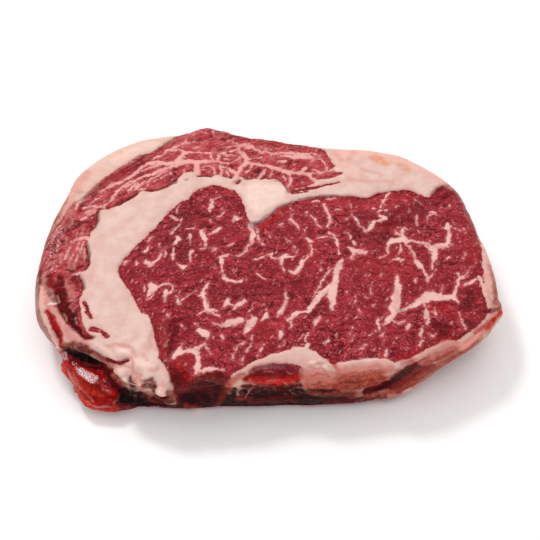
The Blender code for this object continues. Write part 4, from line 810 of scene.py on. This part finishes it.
def paint(mesh):
    """Stores the fields that the material reads, and presses the relief into the mesh."""
    points = positions(mesh) / MM
    out = normals(mesh)
    under = smoothstep(-0.3, -0.8, out[:, 2])
    place, seen = seen_places(points, out)
    strayed = 2.6 * np.maximum(under, 1 - seen)[:, None] + 0.3
    place = place + drift(points, 3.2, SEED + 2) * 0.35 + drift(points, 11, SEED) * strayed
    jagged = place + drift(points, 1.5, SEED + 8) * 0.5

    cap = polygon_depth(place, strands(CAP_MUSCLE)[0])
    fat = -np.maximum(polygon_depth(place, strands(EYE_MUSCLE)[0]), cap)
    vein = strand_depth(jagged, strands(EYE_VEINS) + strands(LOBE_SEAM) + strands(CAP_VEINS))
    for (start, end), path in headed(MUSCLE_ISLANDS):
        some = near(place, path, max(start, end) + 3)
        fat[some] = np.minimum(fat[some], stroke_distance(place[some], start, end, path))

    # Where the photograph shows nothing: streaks of fat and lean along the walls
    hidden = (1 - seen) * (1 - under)
    ragged = (HIDDEN_MIXING[0] * unevenness(points * (0.6, 0.6, 1.8), 8, SEED + 11)
              + HIDDEN_MIXING[1] * unevenness(points * (0.5, 0.5, 1.6), 3, SEED + 12))
    fat += hidden * (np.clip(fat, -1.3, 1.9) + ragged - fat)
    low_front = (1 - seen) * smoothstep(-0.1, -0.5, out[:, 1]) * smoothstep(7, 4, points[:, 2])
    low_front *= smoothstep(-0.95, -0.8, out[:, 2]) * smoothstep(52, 40, place[:, 0])
    fat -= low_front * (8 + np.maximum(fat, 0))
    shown = seen > 0.5
    for (kind, start, end), path in headed(SIDE_STROKES):
        some = near(place, path, max(start, end) + 4)
        some = some[shown[some]]
        inside = -stroke_distance(place[some], start, end, path)
        fat[some] = np.maximum(fat[some], inside) if kind == "fat" else np.minimum(fat[some], -inside)

    # Painted shade darkens the gaps and creases, and the mesh is sunk there
    gap_shade, sink = np.zeros(len(place)), np.zeros(len(place))
    for (half, depth, darkness), path in headed(GAPS):
        some = near(place, path, half + 2)
        away = stroke_distance(place[some], half, half * 0.6, path)
        bite = smoothstep(0.9, -half, away)
        sink[some] = np.maximum(sink[some], depth * bite * seen[some])
        gap_shade[some] = np.maximum(gap_shade[some], darkness * smoothstep(0.5, -0.4 * half, away) * seen[some])

    wall = smoothstep(0.62, 0.2, out[:, 2]) * (1 - under)
    fields = {
        "fat": fat, "vein": vein, "gap_shade": gap_shade, "cap": smoothstep(-1.5, 1.5, cap), "wall": wall,
        "red": spots(place, BRIGHT_RED) * seen, "grey": spots(place, GREY) * seen,
        "dark": spots(place, DARK_LEAN) * seen, "glint": spots(place, GLINT) * seen,
    }
    lean = 1 - smoothstep(-0.4, 0.6, np.maximum(fat, vein))
    lift = FAT_LIFT * smoothstep(-0.5, 1.2, fat) + VEIN_LIFT * smoothstep(-0.4, 0.6, vein) - sink
    lift += lean * (LEAN_ROUGHNESS[0] * unevenness(points, 4.5, SEED + 4)
                    + LEAN_ROUGHNESS[1] * unevenness(points, 1.7, SEED + 5))
    lift += (1 - lean) * (FAT_ROUGHNESS[0] * unevenness(points, 6.0, SEED + 6)
                          + FAT_ROUGHNESS[1] * unevenness(points, 1.8, SEED + 7))
    knobbly = smoothstep(-36, -44, place[:, 1]) * smoothstep(-32, -37, place[:, 0])
    lift += knobbly * smoothstep(-0.4, 1.0, fat) * LUMP_LIFT * unevenness(points, 3.4, SEED + 10)
    tint, cover, lumps = painted(jagged, shown, out)
    lift += lumps
    lift *= 1 - 0.8 * under
    points = points + out * lift[:, None]
    points[:, 2] = np.maximum(points[:, 2], 0)
    move_to(mesh, points * MM)
    for name, values in fields.items():
        layer = mesh.attributes.new(name, "FLOAT", "POINT")
        layer.data.foreach_set("value", values.astype(np.float32))
    layer = mesh.attributes.new("tint", "FLOAT_VECTOR", "POINT")
    layer.data.foreach_set("vector", tint.astype(np.float32).ravel())
    layer = mesh.attributes.new("cover", "FLOAT", "POINT")
    layer.data.foreach_set("value", cover.astype(np.float32))


class Nodes:
    """A short way to write a material's nodes."""

    def __init__(self, tree):
        self.tree = tree
        self.place = self.add("ShaderNodeTexCoord").outputs["Object"]

    def add(self, kind, values=None, **settings):
        node = self.tree.nodes.new(kind)
        for key, value in settings.items():
            setattr(node, key, value)
        for key, value in (values or {}).items():
            self.put(node.inputs[key], value)
        return node

    def put(self, socket, value):
        if isinstance(value, bpy.types.NodeSocket):
            self.tree.links.new(value, socket)
        else:
            socket.default_value = value

    def field(self, name):
        return self.add("ShaderNodeAttribute", attribute_name=name).outputs["Fac"]

    def maths(self, operation, a, b=0.0):
        return self.add("ShaderNodeMath", {0: a, 1: b}, operation=operation).outputs[0]

    def plus(self, a, b):
        return self.maths("ADD", a, b)

    def times(self, a, b):
        return self.maths("MULTIPLY", a, b)

    def step(self, value, low, high, to_low=0.0, to_high=1.0):
        node = self.add("ShaderNodeMapRange", {"Value": value, "From Min": low, "From Max": high,
                                               "To Min": to_low, "To Max": to_high},
                        interpolation_type="SMOOTHSTEP")
        return node.outputs[0]

    def mix(self, share, a, b, blend="MIX"):
        node = self.add("ShaderNodeMix", data_type="RGBA", blend_type=blend)
        for index, value in ((0, share), (6, a), (7, b)):
            self.put(node.inputs[index], linear(value) if isinstance(value, tuple) else value)
        return node.outputs[2]

    def stretched(self, turn, scale):
        """Coordinates squeezed along axes that are turned in the top plane."""
        node = self.add("ShaderNodeMapping", {"Vector": self.place, "Rotation": (0, 0, turn),
                                              "Scale": tuple(1 / share for share in scale)},
                        vector_type="TEXTURE")
        return node.outputs[0]

    def noise(self, size_mm, detail=2.0, roughness=0.5, where=None):
        node = self.add("ShaderNodeTexNoise", {"Vector": where or self.place, "Scale": 1 / (size_mm * MM),
                                               "Detail": detail, "Roughness": roughness})
        return node.outputs["Fac"]

    def warped(self, size_mm, amount_mm, where=None):
        """Coordinates pushed about by noise."""
        where = where or self.place
        pushed = self.add("ShaderNodeTexNoise", {"Vector": where, "Scale": 1 / (size_mm * MM), "Detail": 1.0})
        centred = self.add("ShaderNodeVectorMath", {0: pushed.outputs["Color"], 1: (0.5, 0.5, 0.5)},
                           operation="SUBTRACT").outputs[0]
        scaled = self.add("ShaderNodeVectorMath", {0: centred, "Scale": amount_mm * MM},
                          operation="SCALE").outputs[0]
        return self.add("ShaderNodeVectorMath", {0: where, 1: scaled}, operation="ADD").outputs[0]

    def cells(self, size_mm, feature, where):
        """Distance to a cell's middle or edge."""
        node = self.add("ShaderNodeTexVoronoi", {"Vector": where, "Scale": 1 / (size_mm * MM)},
                        feature=feature)
        return node.outputs["Distance"]

    def ridges(self, size_mm, detail, roughness, where):
        """Nothing along winding lines, and more away from them."""
        return self.maths("ABSOLUTE", self.plus(self.noise(size_mm, detail, roughness, where), -0.5))

    def most(self, a, b):
        return self.maths("MAXIMUM", a, b)


def meat_material():
    material = bpy.data.materials.new("marbled_raw_meat")
    material.use_nodes = True
    tree = material.node_tree
    tree.nodes.clear()
    n = Nodes(tree)
    fat, gap_shade, cap, wall = n.field("fat"), n.field("gap_shade"), n.field("cap"), n.field("wall")

    vein = n.field("vein")
    small, broad = n.plus(n.noise(0.8, 3, 0.6), -0.5), n.plus(n.noise(2.6, 2), -0.5)
    edge = n.plus(fat, n.plus(n.times(small, 0.9), n.times(broad, 1.0)))
    vein_edge = n.plus(n.plus(vein, 0.12), n.plus(n.times(small, 1.5), n.times(broad, 1.4)))
    fat_share = n.step(edge, -0.12, 0.14)
    fading = n.step(n.noise(5.0, 2), 0.34, 0.56, 0.72, 1.0)
    strong = n.step(vein_edge, 0.1, 0.6, 0.8, 1.0)
    vein_share = n.times(n.step(vein_edge, -0.16, 0.18), n.times(strong, fading))

    # Lean: puffy little folds with painted shade in the dark wavy creases between, and painted highlights
    # where the crimps are raised
    lying = n.warped(2.4, 1.2, n.stretched(math.radians(8), (0.6, 1.0, 1.0)))
    fold = n.ridges(3.2, 3, 0.55, lying)
    crimp = n.ridges(1.35, 3, 0.6, n.warped(1.6, 0.8))
    creases, crimps = n.step(fold, 0.05, 0.008), n.step(crimp, 0.05, 0.005)
    patchy = n.step(n.noise(7.0, 3), 0.38, 0.6, 0.2, 1.0)
    mottle = n.noise(7.0, 4, 0.65)
    eye_meat = n.mix(n.step(mottle, 0.36, 0.6), MEAT_DARK, MEAT)
    # Painted highlight on the raised parts of the crimps; the pale meat colour also rings the veins
    raised_highlight = n.times(n.step(crimp, 0.03, 0.17), n.step(n.noise(4.2, 3), 0.36, 0.68, 0.12, 0.8))
    eye_meat = n.mix(raised_highlight, eye_meat, PALE_MEAT_AND_HIGHLIGHT)
    along = n.stretched(math.radians(-52), (1.0, 0.35, 1.0))
    cap_meat = n.mix(n.step(n.noise(4.0, 4, 0.6, along), 0.32, 0.6), CAP_DARK, CAP)
    cap_meat = n.mix(n.times(n.step(n.noise(1.6, 4, 0.65, along), 0.4, 0.64), 0.95), cap_meat, CAP_PALE)
    lean = n.mix(cap, eye_meat, cap_meat)
    # Painted shade in the creases and crimps
    lean = n.mix(n.times(creases, n.times(patchy, 0.9)), lean, CREASE_SHADE)
    lean = n.mix(n.times(crimps, n.times(patchy, 0.36)), lean, CREASE_SHADE)

    # Fine flecks and threads of fat in the lean, and painted shine specks on the ridges of the crimps
    leaning = n.warped(0.9, 0.9, n.stretched(math.radians(58), (0.55, 1.3, 1.0)))
    crossing = n.warped(0.7, 0.7, n.stretched(math.radians(-50), (0.6, 1.2, 1.0)))
    flecks = n.times(n.step(n.cells(2.3, "F1", leaning), 0.3, 0.12), n.step(n.noise(4.0, 1), 0.46, 0.56))
    specks = n.times(n.step(n.cells(1.5, "F1", crossing), 0.26, 0.1), n.step(n.noise(2.4, 1), 0.5, 0.62))
    # Painted highlights: tiny shine specks, laid in the fleck colour
    shine = n.times(n.step(n.noise(0.62, 2, 0.6), 0.62, 0.74), n.step(crimp, 0.04, 0.1))
    flecks_and_shine = n.most(n.times(flecks, 0.72), n.times(specks, 0.55))
    flecks_and_shine = n.most(flecks_and_shine, n.times(shine, n.times(patchy, 0.5)))
    lean = n.mix(n.times(n.step(vein_edge, -1.1, 0.1), 0.4), lean, PALE_MEAT_AND_HIGHLIGHT)
    lean = n.mix(n.times(flecks_and_shine, n.step(wall, 0.6, 0.1)), lean, FLECK_AND_SHINE)

    lean = n.mix(n.times(n.field("red"), 0.7), lean, RED)
    lean = n.mix(n.times(n.field("dark"), 0.7), lean, OLD_LEAN)
    # Walls: darker lean, partly the cut side's own dark red and partly painted shade
    layered = n.noise(3.4, 4, 0.65, n.stretched(0.0, (1.6, 1.6, 0.6)))
    wall_lean_and_shade = n.mix(n.step(layered, 0.4, 0.66), SHADED_SIDE_LEAN, SIDE_MEAT)
    lean = n.mix(n.times(wall, 0.8), lean, wall_lean_and_shade)

    # Fat: creamy, pinker by the lean, peach outside
    soft = n.noise(5.0, 4, 0.55)
    pale = n.mix(n.step(soft, 0.3, 0.7), FAT_CREAM, FAT_WHITE)
    pale = n.mix(n.times(n.step(edge, 0.9, 0.1), 0.55), pale, FAT_PINK)
    pores = n.noise(0.7, 2)
    pale = n.mix(n.step(pores, 0.62, 0.85), pale, FAT_PINK)
    skin = n.mix(n.step(n.noise(5.0, 4, 0.6), 0.36, 0.62), SIDE_FAT, SIDE_PALE)
    torn = n.ridges(9.0, 4, 0.6, n.stretched(0.0, (0.6, 0.6, 1.4)))
    skin = n.mix(n.times(n.step(torn, 0.03, 0.004), 0.5), skin, SIDE_RED)
    pale = n.mix(n.times(wall, 0.85), pale, skin)

    streak = n.mix(n.step(vein_edge, -0.1, 0.7), FLECK_AND_SHINE, VEIN_FAT)
    streak = n.mix(n.times(cap, 0.55), streak, FLECK_AND_SHINE)
    colour = n.mix(fat_share, n.mix(n.times(vein_share, 0.92), lean, streak), pale)
    all_fat = n.most(fat_share, vein_share)
    colour = n.mix(n.times(n.field("grey"), 0.75), colour, SILVERSKIN)

    # Colour laid on: mottled like flesh where it is dark, with painted shade along the crimps, and like fat
    # where it is pale
    tint = n.add("ShaderNodeAttribute", attribute_name="tint").outputs["Vector"]
    cover = n.field("cover")
    fleshy = n.step(n.add("ShaderNodeSeparateXYZ", {0: tint}).outputs[1], 0.2, 0.06)
    streaky = n.stretched(math.radians(-14), (0.35, 1.0, 1.0))
    fatty = n.step(n.noise(2.6, 4, 0.6, streaky), 0.3, 0.7, 0.94, 1.05)
    stringy = n.step(n.noise(2.0, 4, 0.65), 0.32, 0.68, 0.7, 1.3)
    stringy = n.times(stringy, n.step(crimp, 0.0, 0.07, 0.55, 1.06))
    mottling = n.plus(n.times(stringy, fleshy), n.times(fatty, n.plus(1.0, n.times(fleshy, -1.0))))
    varied = n.add("ShaderNodeVectorMath", {0: tint, "Scale": mottling}, operation="SCALE").outputs[0]
    uneven_cover = n.times(cover, n.step(n.noise(1.6, 3, 0.6), 0.3, 0.55, 0.8, 1.12))
    colour = n.mix(n.maths("MINIMUM", uneven_cover, 1.0), colour, varied)

    # Painted glints, painted shade in the gaps and pits, and the shader
    # Painted highlights: crackled white glints where the glint field is laid
    shards = n.cells(1.1, "DISTANCE_TO_EDGE", n.warped(0.8, 1.1))
    glint = n.field("glint")
    painted_glints = n.step(n.plus(n.noise(0.8, 3, 0.65), n.times(n.plus(glint, -1.0), 0.34)), 0.44, 0.54)
    painted_glints = n.times(n.times(painted_glints, n.step(shards, 0.02, 0.1)), n.step(glint, 0.05, 0.5))
    colour = n.mix(n.times(painted_glints, 0.85), colour, GLINT_WHITE)
    # Painted shade in the gaps and creases
    colour = n.mix(n.times(gap_shade, 0.85), colour, PAINTED_GAP_SHADE)

    lumps = n.plus(n.times(n.step(fold, 0.0, 0.12), 1.3), n.times(n.step(crimp, 0.0, 0.12), 0.8))
    height = n.plus(n.times(lumps, n.step(all_fat, 1.0, 0.0)), n.times(n.noise(0.6, 2, 0.6), 0.5))
    height = n.times(n.plus(height, n.times(n.noise(2.2, 3, 0.5), 1.1)), n.step(wall, 0.0, 1.0, 1.0, 0.5))
    bump = n.add("ShaderNodeBump", {"Height": height, "Strength": 0.9, "Distance": BUMP_DEPTH * MM})
    shader = n.add("ShaderNodeBsdfPrincipled", {
        "Base Color": colour, "Normal": bump.outputs["Normal"], "Specular IOR Level": 0.1,
        "Roughness": n.plus(n.step(all_fat, 0.0, 1.0, 0.24, 0.42), n.times(n.noise(1.6, 2), 0.12)),
        "Subsurface Weight": 0.12,
        "Subsurface Radius": (1.0, 0.35, 0.25), "Subsurface Scale": 0.0015,
    })
    out = n.add("ShaderNodeOutputMaterial", {"Surface": shader.outputs[0]})
    out.is_active_output = True
    return material


def plain_material(name, colour, roughness):
    material = bpy.data.materials.new(name)
    material.use_nodes = True
    shader = material.node_tree.nodes["Principled BSDF"]
    shader.inputs["Base Color"].default_value = linear(colour)
    shader.inputs["Roughness"].default_value = roughness
    return material


def steak():
    mesh = fine_mesh(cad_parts["steak"])
    shift_outline(mesh)
    paint(mesh)
    mesh.name = "marbled_steak"
    piece = bpy.data.objects.new("marbled_steak", mesh)
    bpy.context.scene.collection.objects.link(piece)
    mesh.polygons.foreach_set("use_smooth", [True] * len(mesh.polygons))
    mesh.materials.clear()
    mesh.materials.append(meat_material())
    mesh.update()
    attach(piece, "root")
    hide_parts("steak")
    return piece


def aimed(kind, name, place, at, settings):
    data = bpy.data.lights.new(name, kind) if kind == "AREA" else bpy.data.cameras.new(name)
    for key, value in settings.items():
        setattr(data, key, value)
    obj = bpy.data.objects.new(name, data)
    obj.location = place
    obj.rotation_euler = (Vector(at) - Vector(place)).to_track_quat("-Z", "Y").to_euler()
    bpy.context.scene.collection.objects.link(obj)
    return obj


def studio():
    scene = bpy.context.scene
    mesh = bpy.data.meshes.new("floor")
    half = FLOOR_SIDE / 2
    corners = [(-half, -half, 0), (half, -half, 0), (half, half, 0), (-half, half, 0)]
    mesh.from_pydata(corners, [], [(0, 1, 2, 3)])
    floor = bpy.data.objects.new("floor", mesh)
    scene.collection.objects.link(floor)
    floor.location.z = -0.05 * MM
    mesh.materials.append(plain_material("pale_floor", (254, 254, 254), 0.9))

    world = bpy.data.worlds.new("studio")
    scene.world = world
    world.use_nodes = True
    back = world.node_tree.nodes["Background"]
    back.inputs["Color"].default_value = (1.0, 1.0, 1.0, 1.0)
    back.inputs["Strength"].default_value = AMBIENT_LIGHT
    for name, place, power, size in LAMPS:
        aimed("AREA", name, place, (0, 0, 0), {"energy": power, "size": size})
    scene.view_settings.view_transform = "Standard"

    target = Vector(READING_ORIGIN * MM) + Vector((0, 0, AIM_HEIGHT * MM))
    away = Vector((0, -math.cos(VIEW_ELEVATION), math.sin(VIEW_ELEVATION))) * VIEW_DISTANCE
    camera = aimed("CAMERA", "camera", target + away, target,
                   {"lens": VIEW_LENS, "sensor_width": VIEW_SENSOR, "clip_start": 0.01, "clip_end": 20})
    scene.camera = camera


studio()
steak()
